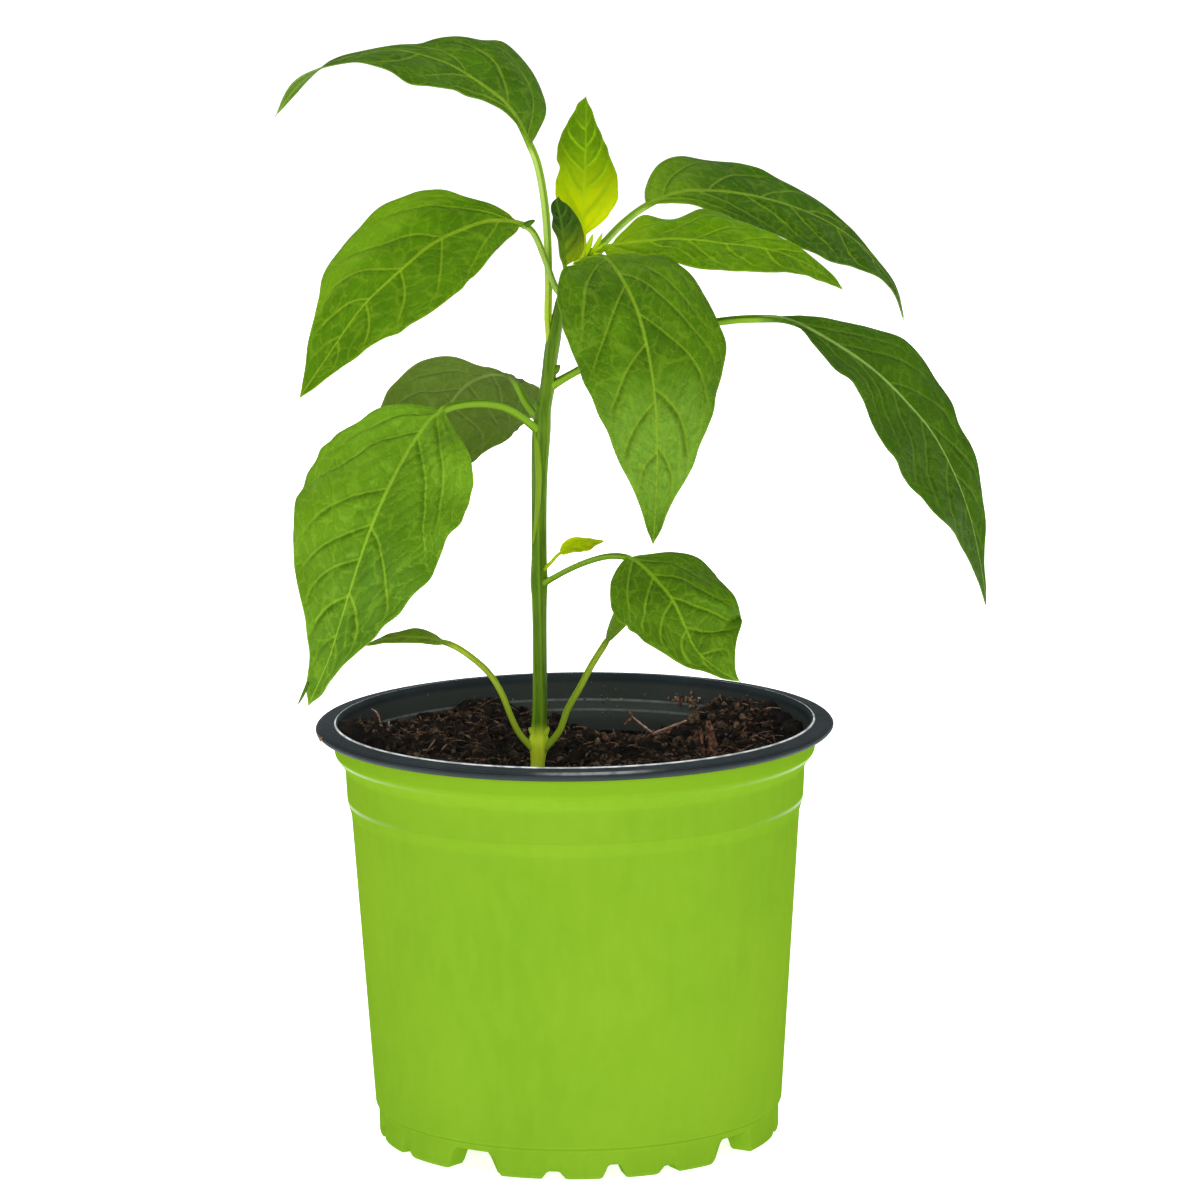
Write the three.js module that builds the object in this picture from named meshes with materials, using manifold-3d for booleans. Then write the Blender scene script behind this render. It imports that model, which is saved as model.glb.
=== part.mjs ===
// A young chilli pepper plant in a round plastic nursery pot.
//
// Millimetres, +Z up. The origin is on the pot's axis, at the surface that the pot stands on. The plant
// is seen from the -Y side. The pot is a thin moulded shell, the soil fills it, the stem stands in a
// plain hole in the soil, and each leaf with its stalk is a body of its own that starts at the stem.

import * as THREE from 'three';
import { mergeVertices } from 'three/addons/utils/BufferGeometryUtils.js';
import Module from 'manifold-3d';

const wasm = await Module();
wasm.setup();

// Pot
const POT_HEIGHT = 97;
const RIM_RADIUS = 60;
const RIM_UNDERSIDE = POT_HEIGHT - 2.3;
const WALL = 1;
const FLOOR = 5.8;
const WIDE_NOTCH = { height: 5.5, topHalfAngle: 4.3, halfAngle: 9 };
const WIDE_NOTCH_TURNS = [-33, 50, 142, 235];
const NARROW_NOTCHES = [
  { share: 0.3, height: 2 },
  { share: 0.51, height: 3.4 },
  { share: 0.71, height: 2 },
];
const NARROW_NOTCH_HALF_ANGLE = 2.8;
const WIDEST_STEP = 8.7;
const DRAIN_HOLE = { radius: 3.5, ring: 29, count: 8, sides: 10 };

// Radius and height along the pot's skin, from the pad in the middle of its underside, out under the
// foot, up the outside, over the rim and down the inside to the top of the same pad. Points beyond the
// radius of the foot's inner edge are lifted where the foot is notched.
const FOOT_INNER_RADIUS = 39.6;
const POT_OUTSIDE = [
  [8.5, 0],
  [10, FLOOR],
  [FOOT_INNER_RADIUS, FLOOR],
  [41, 0],
  [45.4, 0],
  [46.4, 1],
  [46.6, 6.6],
  [47.3, 7.6],
  [51.8, 76],
  [52.7, 79],
  [53.1, 87],
  [55.5, 90.2],
  [55.6, RIM_UNDERSIDE],
  [59, RIM_UNDERSIDE],
  [RIM_RADIUS, RIM_UNDERSIDE + 0.8],
  [RIM_RADIUS, RIM_UNDERSIDE + 1.5],
  [59.2, POT_HEIGHT],
];
const SHOULDER = [52.1, 87];
const WALL_TOP = [50.8, 76];
const WALL_FOOT = [46.3, 7.8];
const POT_INSIDE = [
  [55.6, POT_HEIGHT],
  [54.7, POT_HEIGHT - 0.8],
  [54.5, 90.4],
  SHOULDER,
  [51.7, 79],
  WALL_TOP,
  WALL_FOOT,
  [45.4, WALL],
  [41.9, WALL],
  [40.3, FLOOR + WALL],
  [9.3, FLOOR + WALL],
  [8, WALL],
];

// Soil
const SOIL_CLEARANCE = 0.8;
const SOIL_BOTTOM = FLOOR + WALL + 0.4;
const SOIL_LEVEL = POT_HEIGHT - 7.5;
const SOIL_SPOKES = 48;
const SOIL_RINGS = 9;
const SOIL_ROUGHNESS = 0.9;
// Middle, rise over the level and reach of each mound, with a negative rise for a hollow
const SOIL_MOUNDS = [
  { x: 40, y: 22, rise: 5.5, reach: 15 },
  { x: 14, y: 48, rise: -11, reach: 14 },
  { x: -6, y: 2, rise: -5.5, reach: 12 },
  { x: -34, y: 24, rise: 1.8, reach: 14 },
  { x: 30, y: -30, rise: 1, reach: 15 },
];
const STANDING_BARK = { x: 38, y: 11, width: 2.6, thickness: 1.2, height: 7, sunk: 1.5, lean: -6 };
const BARK = { count: 12, shortest: 3, longest: 8, thinnest: 1.4, thickest: 2.4, height: 1.6, tilt: 25 };
const BARK_REACH = { least: 12, most: 44 };
const BARK_RISE = 0.3;
const SEED = 17;

// Stem: x, y, z and radius along it, from its end in the soil to the shoot tip
const STEM_SIDES = 10;
const STEM = [
  [-8.8, 0, 62, 1.5],
  [-8.8, 0, 84, 1.8],
  [-8.6, 0, 88.5, 1.95],
  [-8.4, 0, 91.5, 2.5],
  [-8.3, 0, 94.5, 1.9],
  [-8, 0, 102, 1.75],
  [-7.8, 0, 125, 1.75],
  [-7.8, 0, 129.5, 2],
  [-7.7, 0, 134, 1.75],
  [-7.4, 0, 153, 1.8],
  [-6.9, 0, 162, 2.1],
  [-6.6, 0, 166, 2.05],
  [-6.2, 0, 169.5, 1.7],
  [-5.2, 0, 175, 1.7],
  [-4.9, 0, 178.5, 1.4],
  [-4.1, 0, 186, 1.5],
  [-3.9, 0, 189.5, 1.75],
  [-2.5, 0.5, 193, 1.4],
  [-1.2, 1, 196, 1.4],
  [1.7, 2, 200.7, 1.3],
  [4.5, 3, 204.6, 1.25],
  [5, 3.2, 206.2, 0.6],
];
const STEM_HOLE_BOTTOM = 61;
const BUD_SIDES = 6;
const CLEARANCE = 0.3;
// Buds in the leaf axils and the first leaves of the shoot tip: foot, point and radius at the foot
const BUDS = [
  { foot: [-6.9, 0, 168.5], point: [-8.4, -0.4, 171.2], radius: 0.7 },
  { foot: [-4.2, 0, 177.5], point: [-2.4, -0.6, 179.8], radius: 0.7 },
  { foot: [-8.9, 0, 93], point: [-10.6, -0.6, 95.3], radius: 0.8 },
  { foot: [-7.8, 0, 93], point: [-5.9, -0.6, 95.3], radius: 0.8 },
  { foot: [4.6, 2.6, 204.6], point: [4.9, 1.6, 209], radius: 0.75 },
  { foot: [5, 2.8, 204.8], point: [7.2, 1.7, 209.6], radius: 0.75 },
];

// Leaves. The path runs from the stem's middle along the stalk and the midrib to the tip, and the blade
// begins at its point bladeFrom. Left and right are the half widths at even steps between the blade's base
// and its tip, as seen from the stalk with the upper face up. Across gives the direction of the right side
// at even steps from the base to the tip. The halves rise from the midrib by fold degrees and bend back
// down by curl degrees on the way to the margin, which waves up and down by wave millimetres, waves times
// over.
const LEAVES = [
  {
    name: 'leaf_centre', colour: '#4f8a1b', stalk: 0.85, bladeFrom: 3,
    path: [
      [1.7, 2, 200.7], [3.4, -2.6, 204.6], [5.6, -6.5, 206.2], [7.7, -10, 206.4], [10.4, -17, 203.5],
      [15.1, -24, 195.3], [18.3, -30, 181.8], [19.3, -34, 167.3], [18.7, -36, 150.9], [18.1, -36.5, 143.7],
    ],
    left: [13.3, 16, 18.2, 18.5, 16.1, 12.8, 9.6, 6.1, 2.5],
    right: [12.8, 16.4, 16.8, 16.4, 14.8, 12.6, 9.7, 6.3, 3],
    across: [[-0.9, -0.35, -0.2], [-1, 0, 0.1], [-1, 0, 0], [-1, 0, 0]],
    fold: 14, curl: 40, wave: 0.7, waves: 3.5,
  },
  {
    name: 'leaf_lower_left', colour: '#559320', stalk: 0.95, bladeFrom: 4,
    path: [
      [-6.7, 0, 164], [-13.9, -4.5, 170.1], [-18.8, -8.5, 172.1], [-24.2, -13, 172.7], [-28.4, -16, 172.1],
      [-32.2, -19, 169.6], [-39.9, -26, 158], [-45.3, -31, 146.8], [-51.5, -35, 128.7],
      [-55, -36.5, 118.1], [-59.7, -37, 108.6],
    ],
    left: [12.2, 18, 18.7, 17.5, 17.4, 14.5, 10.1, 6.5, 2.7],
    right: [10, 17.3, 19, 18.8, 17.3, 14.5, 10.4, 6.4, 3.4],
    across: [[-0.75, 0.6, 0.25], [-0.83, 0.4, 0.35], [-0.87, 0.28, 0.4], [-0.9, 0.2, 0.3]],
    fold: 10, curl: 25, wave: 0.9, waves: 4,
  },
  {
    name: 'leaf_back_left', colour: '#5c8a2c', stalk: 0.9, bladeFrom: 2,
    path: [
      [-6.6, 0, 166], [-10.3, 4.2, 170.2], [-12.6, 8, 174.2], [-15.2, 13, 175.8], [-19.5, 19, 174.8],
      [-25, 26, 171], [-29.4, 32, 164.5], [-32.4, 36, 156], [-34.3, 38, 147.2],
    ],
    left: [1.6, 4.5, 9.2, 11.8, 13.9, 14.7, 14.8, 13, 8.5],
    right: [6, 12.5, 15.5, 17, 17.5, 17.2, 16, 12.9, 8],
    across: [[0.75, 0.5, -0.4], [0.75, 0.38, -0.55], [0.75, 0.35, -0.5], [0.8, 0.3, -0.4]],
    fold: 8, curl: 20, wave: 0.7, waves: 3,
  },
  {
    name: 'leaf_right', colour: '#427815', stalk: 0.95, bladeFrom: 4,
    path: [
      [-5.2, 0, 174.5], [1.7, -2, 178.6], [15.9, -6, 186.4], [34.9, -10, 190.7], [49.5, -12, 190.9],
      [56.8, -13, 187.4], [64.4, -14, 182.7], [70.9, -15, 177.5], [76.5, -16, 171.7], [81.2, -17, 166.1],
      [85.9, -18, 157.5], [89.7, -19, 147.5], [92.5, -20, 134.5], [93.7, -20, 126],
    ],
    left: [5.3, 10.6, 11.7, 10.7, 9.2, 7.9, 5.8, 3.8, 1.6],
    right: [4.9, 9, 11.2, 14, 15.5, 15, 11.6, 6.9, 3.3],
    across: [[-0.2, -0.87, -0.45], [-0.5, -0.72, -0.5], [-0.6, -0.7, -0.35], [-0.65, -0.75, -0.06]],
    fold: 16, curl: 20, wave: 1, waves: 4,
  },
  {
    name: 'leaf_middle_left', colour: '#5e9a1e', stalk: 0.75, bladeFrom: 4,
    path: [
      [-1.2, 0.9, 195.5], [-3, -1.9, 197.3], [-5.2, -3, 203.5], [-8, -5, 210.6], [-10.2, -6.6, 212.6],
      [-17.8, -12, 214.2], [-26.2, -17, 212], [-31.4, -20, 209.5], [-39, -24, 203.5], [-46.4, -27, 196.8],
      [-52, -29, 189.2], [-56.3, -30, 183.1], [-60.7, -31, 176.9],
    ],
    left: [7, 9.5, 11.9, 13.2, 12.7, 11.6, 9.5, 6.5, 3.4],
    right: [4, 10.5, 14.3, 16, 15.8, 14.2, 10.4, 7.2, 3.4],
    across: [[0.1, 0.7, 0.7], [-0.25, 0.65, 0.72], [-0.58, 0.54, 0.6], [-0.75, 0.5, 0.42]],
    fold: 6, curl: 20, wave: 0.8, waves: 3,
  },
  {
    name: 'leaf_top_left', colour: '#56921c', stalk: 0.9, bladeFrom: 5,
    path: [
      [-3.9, 0, 188], [-4.8, 0.2, 192.5], [-4.75, 0.2, 199], [-5.2, -1, 214.4], [-6.9, -2, 225.7],
      [-8.4, -3, 229.9], [-12.8, -5, 238.8], [-19.2, -8, 244.6], [-25.6, -10, 248.9], [-31.6, -12, 251.4],
      [-38.5, -13, 252.9], [-46.6, -14, 252], [-54, -15, 249.9], [-60.3, -16, 245.8], [-65.5, -17, 238.8],
    ],
    left: [1.5, 3.5, 6, 9, 11.5, 9, 5, 3, 1.9],
    right: [13.5, 16.5, 14.5, 10.5, 6.8, 4.6, 3.2, 2.4, 1.6],
    across: [[0.6, 0.75, 0.25], [0.48, 0.74, 0.46], [0.1, 0.96, 0.26], [0, 0.99, 0.12], [0, 1, -0.05]],
    fold: 6, curl: 28, wave: 0.7, waves: 3.5,
  },
  {
    name: 'leaf_top_right', colour: '#4c8519', stalk: 0.85, bladeFrom: 3,
    path: [
      [4.6, 3, 204.2], [7.2, 5, 206.2], [11.6, 9, 210.3], [17.2, 13, 214.1], [24.6, 17, 216.8],
      [32.5, 21, 216.7], [39.7, 24, 215.6], [49.3, 27, 212.9], [58, 30, 209.1], [65.2, 32, 204.4],
      [70.9, 33, 198.3], [75.6, 34, 192.1], [77.9, 34, 184],
    ],
    left: [6.8, 12.5, 14, 12, 9.7, 6.5, 4, 2.5, 1.5],
    right: [4.2, 7.2, 9.4, 10.6, 11.8, 12.2, 10, 5.6, 2.2],
    across: [[0.2, -0.8, -0.55], [0.1, -0.8, -0.6], [-0.15, -0.88, -0.42], [-0.35, -0.9, -0.15]],
    fold: 6, curl: 35, wave: 0.7, waves: 3.5,
  },
  {
    name: 'leaf_second_right', colour: '#64a01d', stalk: 0.75, bladeFrom: 2,
    path: [
      [3.6, 2.7, 203.4], [7.7, 0.6, 206.1], [10.9, -1, 207.1], [20.9, -3.5, 208.5], [28.6, -5.5, 208.6],
      [35.1, -7.5, 207.9], [42.7, -9.5, 207.2], [49.2, -11, 205.5], [55.3, -12, 202.6], [61.8, -13, 197.9],
    ],
    left: [6.8, 10.8, 11.4, 11.6, 9.4, 6.8, 5.2, 4, 2.4],
    right: [5, 7.3, 8.7, 9.3, 9.4, 9.4, 8.1, 5.3, 2.9],
    across: [[0, -0.86, -0.5], [0, -0.86, -0.5], [-0.1, -0.86, -0.48], [-0.3, -0.86, -0.4]],
    fold: 8, curl: 20, wave: 0.7, waves: 4,
  },
  {
    name: 'leaf_upright_young', colour: '#9cc512', stalk: 0.6, bladeFrom: 1, stations: 9,
    path: [
      [3.2, 2.6, 203.4], [3.3, 5.4, 207.6], [3.2, 6, 212.1], [3.7, 9, 221.6], [4.1, 11, 232.2],
      [4.2, 11, 240],
    ],
    left: [1.5, 4.4, 6, 6.5, 6.5, 6.3, 5.6, 4, 2],
    right: [3.4, 6.3, 7.3, 7.4, 6.8, 5.4, 3.8, 2.3, 1.1],
    across: [[1, 0, 0], [1, 0, 0]],
    fold: 8, curl: 0, wave: 0.35, waves: 2.5,
  },
  {
    name: 'leaf_curled_young', colour: '#3d6b1f', stalk: 0.55, bladeFrom: 2, stations: 7,
    path: [
      [0.4, 1.5, 198.8], [-0.8, 0.2, 202.4], [-0.7, -0.4, 205.5], [-0.4, -1, 210.5], [-0.6, -1.4, 214.5],
      [-0.2, -0.4, 217.2], [0.6, 1.2, 217.8],
    ],
    left: [2, 3.4, 4.1, 4.4, 4.4, 4.1, 3.6, 2.8, 1.7],
    right: [2, 3.4, 4.1, 4.4, 4.4, 4.1, 3.6, 2.8, 1.7],
    across: [[-0.95, 0.3, 0], [-0.95, 0.3, 0]],
    fold: 22, curl: 0, wave: 0.3, waves: 3,
  },
  {
    name: 'leaf_lower_right', colour: '#4f8c1a', stalk: 0.75, bladeFrom: 4,
    path: [
      [-7.8, 0, 128.5], [-0.9, -5, 133.1], [4.2, -10, 136], [8.3, -14, 137.6], [12.2, -18, 138],
      [15.3, -21, 136.9], [19.5, -25, 133], [22.6, -28, 129.6], [25, -30, 124.7], [27.4, -31, 119.3],
      [32.1, -32, 114.9], [37.7, -32, 111.6],
    ],
    left: [4.5, 11.4, 12.8, 13.1, 14, 13.9, 13.2, 10.8, 4.4],
    right: [8.1, 11, 11.7, 11.8, 10.6, 8.2, 4.7, 2.6, 1.5],
    across: [[-0.75, -0.6, -0.3], [-0.84, -0.4, -0.35], [-0.84, -0.3, -0.45], [-0.6, -0.2, -0.8]],
    fold: 8, curl: 30, wave: 0.8, waves: 3,
  },
  {
    name: 'leaflet_lower', colour: '#8fbf1c', stalk: 0.4, bladeFrom: 2, stations: 6,
    path: [
      [-7.7, -0.3, 131.2], [-4.9, -2, 134.3], [-3.2, -2.6, 136.2], [0.6, -3.6, 137.8], [4, -4.4, 138.8],
      [7.4, -4.6, 139.5],
    ],
    left: [0.9, 1.6, 2.1, 2.4, 2.3, 2, 1.6, 1.1, 0.6],
    right: [1, 1.8, 2.3, 2.6, 2.5, 2.2, 1.7, 1.2, 0.6],
    across: [[0, -0.8, -0.55], [0, -0.8, -0.55]],
    fold: 8, curl: 0, wave: 0, waves: 1,
  },
  {
    name: 'seed_leaf_left', colour: '#5c8c1e', stalk: 0.75, bladeFrom: 6, stations: 8,
    path: [
      [-8.5, 0, 89], [-12.6, -2.6, 94.1], [-14.8, -5.6, 99.6], [-16.3, -7.8, 104.2], [-19.2, -10, 109.8],
      [-23.9, -13, 114.8], [-28.1, -15, 117.8], [-34.6, -18, 119.9], [-41.6, -20, 120.1],
      [-47.3, -21, 118.7],
    ],
    left: [1.3, 2.4, 3.3, 3.9, 4, 3.7, 3.1, 2.2, 1.2],
    right: [1.3, 2.4, 3.3, 3.9, 4, 3.7, 3.1, 2.2, 1.2],
    across: [[0.1, 0.9, 0.4], [0, 0.9, 0.4]],
    fold: 4, curl: 10, wave: 0, waves: 1,
  },
  {
    name: 'seed_leaf_right', colour: '#7aa623', stalk: 0.8, bladeFrom: 5, stations: 8,
    path: [
      [-8.3, 0, 89], [-3.6, -2, 94.5], [-1.7, -3, 99.8], [1.4, -5, 105.6], [3.9, -6, 110.6],
      [7, -7, 115.7], [11.2, -9, 123], [15.3, -10, 128], [18.8, -10.5, 131],
    ],
    left: [1.6, 3, 4.1, 4.8, 5, 4.6, 3.8, 2.7, 1.5],
    right: [1.4, 2.6, 3.5, 4.1, 4.2, 3.9, 3.2, 2.3, 1.2],
    across: [[0.3, -0.9, -0.2], [0.3, -0.9, -0.2]],
    fold: 4, curl: 10, wave: 0, waves: 1,
  },
];
const BLADE_THICKNESS = 0.7;
const TIP_RADIUS = 0.35;
const STALK_EDGE = 0.2;
const ROOT_FLARE = 0.35;
const ROOT_FLARE_LENGTH = 3;
const STALK_STEP = 5;
const BLADE_STATIONS = 12;
const HALF_WIDTH_SAMPLE = 0.55;
const SIDE_STEPS = 3;
const WAVE_SHIFT = 0.2;
const CURVE_DIVISIONS = 20;

const POT_COLOUR = '#86bb22';
const SOIL_COLOUR = '#2a1c12';
const STEM_COLOUR = '#6d9a26';

const radians = (degrees) => (degrees * Math.PI) / 180;

const mix = (a, b, share) => a + (b - a) * share;

const smooth = (value) => THREE.MathUtils.smoothstep(value, 0, 1);

// Repeatable random numbers from 0 to 1
function seededRandom(seed) {
  let state = seed;
  return () => {
    state = (state * 1664525 + 1013904223) % 4294967296;
    return state / 4294967296;
  };
}

// A closed body through a row of rings of equally many points, with a fan over each end ring. Where
// mirrored is true for a point of the ring, the faces after it are split along their other diagonal.
function loft(rings, mirrored = () => false) {
  const count = rings[0].length;
  const points = rings.flat();
  const faces = [];
  for (let ring = 0; ring + 1 < rings.length; ring += 1) {
    for (let i = 0; i < count; i += 1) {
      const a = ring * count + i;
      const b = ring * count + ((i + 1) % count);
      if (mirrored(i)) {
        faces.push(a, b, b + count, a, b + count, a + count);
      } else {
        faces.push(a, b, a + count, b, b + count, a + count);
      }
    }
  }
  for (const end of [0, rings.length - 1]) {
    const middle = new THREE.Vector3();
    rings[end].forEach((point) => middle.addScaledVector(point, 1 / count));
    points.push(middle);
    for (let i = 0; i < count; i += 1) {
      const a = end * count + i;
      const b = end * count + ((i + 1) % count);
      faces.push(points.length - 1, ...(end === 0 ? [b, a] : [a, b]));
    }
  }
  const geometry = new THREE.BufferGeometry().setFromPoints(points);
  geometry.setIndex(signedVolume(points, faces) < 0 ? faces.reverse() : faces);
  return geometry;
}

function signedVolume(points, faces) {
  let volume = 0;
  for (let i = 0; i < faces.length; i += 3) {
    const [a, b, c] = [points[faces[i]], points[faces[i + 1]], points[faces[i + 2]]];
    volume += a.dot(new THREE.Vector3().crossVectors(b, c)) / 6;
  }
  return volume;
}

// Joins and cuts work on solids, and the meshes are made of geometries
function toSolid(geometry) {
  const bare = geometry.clone();
  bare.deleteAttribute('normal');
  bare.deleteAttribute('uv');
  const merged = mergeVertices(bare, 1e-4);
  const mesh = { numProp: 3, vertProperties: merged.attributes.position.array, triVerts: merged.index.array };
  return new wasm.Manifold(new wasm.Mesh({ ...mesh, triVerts: new Uint32Array(mesh.triVerts) }));
}

function toGeometry(solid) {
  const mesh = solid.getMesh();
  const geometry = new THREE.BufferGeometry();
  geometry.setAttribute('position', new THREE.BufferAttribute(new Float32Array(mesh.vertProperties), 3));
  geometry.setIndex([...mesh.triVerts]);
  return geometry;
}

function piece(name, geometry, colour, roughness) {
  geometry.computeVertexNormals();
  const material = new THREE.MeshStandardMaterial({ color: colour, roughness, metalness: 0 });
  const mesh = new THREE.Mesh(geometry, material);
  mesh.name = name;
  return mesh;
}

// Turns round the pot, in degrees to the right of the front, each with the height of the foot's edge
// over the ground there: notches in the foot, and steps between them that keep the pot round.
function footStops() {
  const stops = [];
  WIDE_NOTCH_TURNS.forEach((turn, index) => {
    const next = WIDE_NOTCH_TURNS[index + 1] ?? WIDE_NOTCH_TURNS[0] + 360;
    stops.push([turn - WIDE_NOTCH.halfAngle, 0]);
    stops.push([turn - WIDE_NOTCH.topHalfAngle, WIDE_NOTCH.height]);
    stops.push([turn + WIDE_NOTCH.topHalfAngle, WIDE_NOTCH.height]);
    stops.push([turn + WIDE_NOTCH.halfAngle, 0]);
    NARROW_NOTCHES.forEach(({ share, height }) => {
      const middle = mix(turn, next, share);
      stops.push([middle - NARROW_NOTCH_HALF_ANGLE, 0]);
      stops.push([middle, height]);
      stops.push([middle + NARROW_NOTCH_HALF_ANGLE, 0]);
    });
  });
  return stops.flatMap(([turn, height], index) => {
    const [nextTurn, nextHeight] = stops[index + 1] ?? [stops[0][0] + 360, stops[0][1]];
    const steps = Math.ceil((nextTurn - turn) / WIDEST_STEP);
    const between = (step) => [mix(turn, nextTurn, step / steps), mix(height, nextHeight, step / steps)];
    return Array.from({ length: steps }, (_, step) => between(step));
  });
}

function pot() {
  const stops = footStops();
  const ring = (radius, height, skin) => stops.map(([turn, lift]) => new THREE.Vector3(
    radius * Math.sin(radians(turn)),
    -radius * Math.cos(radians(turn)),
    radius > FOOT_INNER_RADIUS ? Math.max(height, lift + skin) : height,
  ));
  const shell = toSolid(loft([
    ...POT_OUTSIDE.map(([radius, height]) => ring(radius, height, 0)),
    ...POT_INSIDE.map(([radius, height]) => ring(radius, height, WALL)),
  ]));
  const holes = Array.from({ length: DRAIN_HOLE.count }, (_, index) => {
    const turn = (index / DRAIN_HOLE.count) * 2 * Math.PI;
    const hole = new THREE.CylinderGeometry(DRAIN_HOLE.radius, DRAIN_HOLE.radius, 4 * WALL, DRAIN_HOLE.sides);
    hole.rotateX(Math.PI / 2);
    hole.translate(DRAIN_HOLE.ring * Math.cos(turn), DRAIN_HOLE.ring * Math.sin(turn), FLOOR + WALL / 2);
    return toSolid(hole);
  });
  const drained = holes.reduce((solid, hole) => solid.subtract(hole), shell);
  return piece('pot', toGeometry(drained), POT_COLOUR, 0.42);
}

// Radius of the pot's inside at a height above its floor
function insideRadius(height) {
  const skin = POT_INSIDE.slice(0, POT_INSIDE.indexOf(WALL_FOOT) + 1);
  const below = skin.findIndex(([, level]) => level <= height);
  const [lowRadius, low] = skin[below];
  const [highRadius, high] = skin[below - 1];
  return mix(lowRadius, highRadius, (height - low) / (high - low));
}

function soilHeight(x, y) {
  return SOIL_MOUNDS.reduce((height, mound) => {
    const distance = Math.hypot(x - mound.x, y - mound.y);
    return height + mound.rise * Math.exp(-((distance / mound.reach) ** 2));
  }, SOIL_LEVEL);
}

// The soil is lofted on spokes round the stem: up the wall, in over the rough top and down the hole
function soil() {
  const random = seededRandom(SEED);
  const [stemX, stemY] = STEM[0];
  const holeRadius = STEM[1][3] + CLEARANCE;
  const spokes = Array.from({ length: SOIL_SPOKES }, (_, i) => (i / SOIL_SPOKES) * 2 * Math.PI);
  // The point on a spoke that is at a radius from the pot's axis
  const onWall = (turn, radius) => {
    const [dx, dy] = [Math.cos(turn), Math.sin(turn)];
    const along = stemX * dx + stemY * dy;
    const reach = Math.sqrt(along ** 2 + radius ** 2 - stemX ** 2 - stemY ** 2) - along;
    return [stemX + reach * dx, stemY + reach * dy];
  };
  const wallPoint = (turn, height) => {
    const [x, y] = onWall(turn, insideRadius(height) - SOIL_CLEARANCE);
    return new THREE.Vector3(x, y, height);
  };
  const edges = spokes.map((turn) => {
    const [x, y] = onWall(turn, insideRadius(SOIL_LEVEL) - SOIL_CLEARANCE);
    return wallPoint(turn, soilHeight(x, y) + SOIL_ROUGHNESS * (random() - 0.5));
  });
  const rings = [
    spokes.map((turn) => wallPoint(turn, WALL_FOOT[1]).setZ(SOIL_BOTTOM)),
    spokes.map((turn) => wallPoint(turn, WALL_TOP[1])),
    spokes.map((turn, i) => wallPoint(turn, Math.min(SHOULDER[1], edges[i].z - SOIL_CLEARANCE))),
    edges,
  ];
  for (let ring = SOIL_RINGS - 1; ring > 0; ring -= 1) {
    rings.push(spokes.map((turn, i) => {
      const share = ring / SOIL_RINGS;
      const start = [stemX + holeRadius * Math.cos(turn), stemY + holeRadius * Math.sin(turn)];
      const x = mix(start[0], edges[i].x, share);
      const y = mix(start[1], edges[i].y, share);
      return new THREE.Vector3(x, y, soilHeight(x, y) + SOIL_ROUGHNESS * 2 * (random() - 0.5));
    }));
  }
  [soilHeight(stemX, stemY), STEM_HOLE_BOTTOM].forEach((height) => {
    rings.push(spokes.map((turn) => new THREE.Vector3(
      stemX + holeRadius * Math.cos(turn),
      stemY + holeRadius * Math.sin(turn),
      height,
    )));
  });
  const bits = barkBits(random);
  const whole = bits.reduce((solid, bit) => solid.add(bit), toSolid(loft(rings)));
  return piece('soil', toGeometry(whole), SOIL_COLOUR, 0.95);
}

// Bits of bark, sunk into the soil's top, and one that stands upright
function barkBits(random) {
  const upright = new THREE.BoxGeometry(STANDING_BARK.width, STANDING_BARK.thickness, STANDING_BARK.height);
  const { x, y, height, sunk, lean } = STANDING_BARK;
  upright.rotateY(radians(lean));
  upright.translate(x, y, soilHeight(x, y) + height / 2 - sunk);
  const bits = [toSolid(upright)];
  for (let i = 0; i < BARK.count; i += 1) {
    const turn = random() * 2 * Math.PI;
    const reach = mix(BARK_REACH.least, BARK_REACH.most, random());
    const length = mix(BARK.shortest, BARK.longest, random());
    const bit = new THREE.BoxGeometry(length, mix(BARK.thinnest, BARK.thickest, random()), BARK.height);
    bit.rotateY(radians(BARK.tilt * (2 * random() - 1)));
    bit.rotateZ(random() * Math.PI);
    const [bitX, bitY] = [reach * Math.cos(turn), reach * Math.sin(turn)];
    bit.translate(bitX, bitY, soilHeight(bitX, bitY) + BARK_RISE);
    bits.push(toSolid(bit));
  }
  return bits;
}

// The stem as a loft of round sections with its buds, everywhere wider by grown
function stemSolid(grown) {
  const along = new THREE.CatmullRomCurve3(STEM.map(([x, y, z]) => new THREE.Vector3(x, y, z)));
  const rings = STEM.map(([, , , radius], index) => {
    const share = index / (STEM.length - 1);
    return roundSection(along.getPoint(share), along.getTangent(share), radius + grown, STEM_SIDES);
  });
  return BUDS.reduce((solid, bud) => solid.add(budSolid(bud, grown)), toSolid(loft(rings)));
}

function roundSection(centre, tangent, radius, sides) {
  const right = new THREE.Vector3(1, 0, 0).addScaledVector(tangent, -tangent.x).normalize();
  const back = new THREE.Vector3().crossVectors(tangent, right);
  return Array.from({ length: sides }, (_, i) => {
    const turn = (i / sides) * 2 * Math.PI;
    const point = centre.clone().addScaledVector(right, radius * Math.cos(turn));
    return point.addScaledVector(back, radius * Math.sin(turn));
  });
}

function budSolid({ foot, point, radius }, grown) {
  const [start, end] = [new THREE.Vector3(...foot), new THREE.Vector3(...point)];
  const direction = end.clone().sub(start).normalize();
  end.addScaledVector(direction, grown);
  const shares = [[0, 1], [0.5, 0.95], [1, 0.3]];
  const section = ([share, size]) => (
    roundSection(start.clone().lerp(end, share), direction, radius * size + grown, BUD_SIDES)
  );
  return toSolid(loft(shares.map(section)));
}

function stem() {
  return piece('stem', toGeometry(stemSolid(0)), STEM_COLOUR, 0.5);
}

// Half width of one side of a blade at a share of its length, on a smooth line through the side's widths
function halfWidth(widths, share) {
  const line = new THREE.SplineCurve([0, ...widths, 0].map((width) => new THREE.Vector2(0, width)));
  return share <= 0 || share >= 1 ? 0 : line.getPoint(share).y;
}

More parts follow.
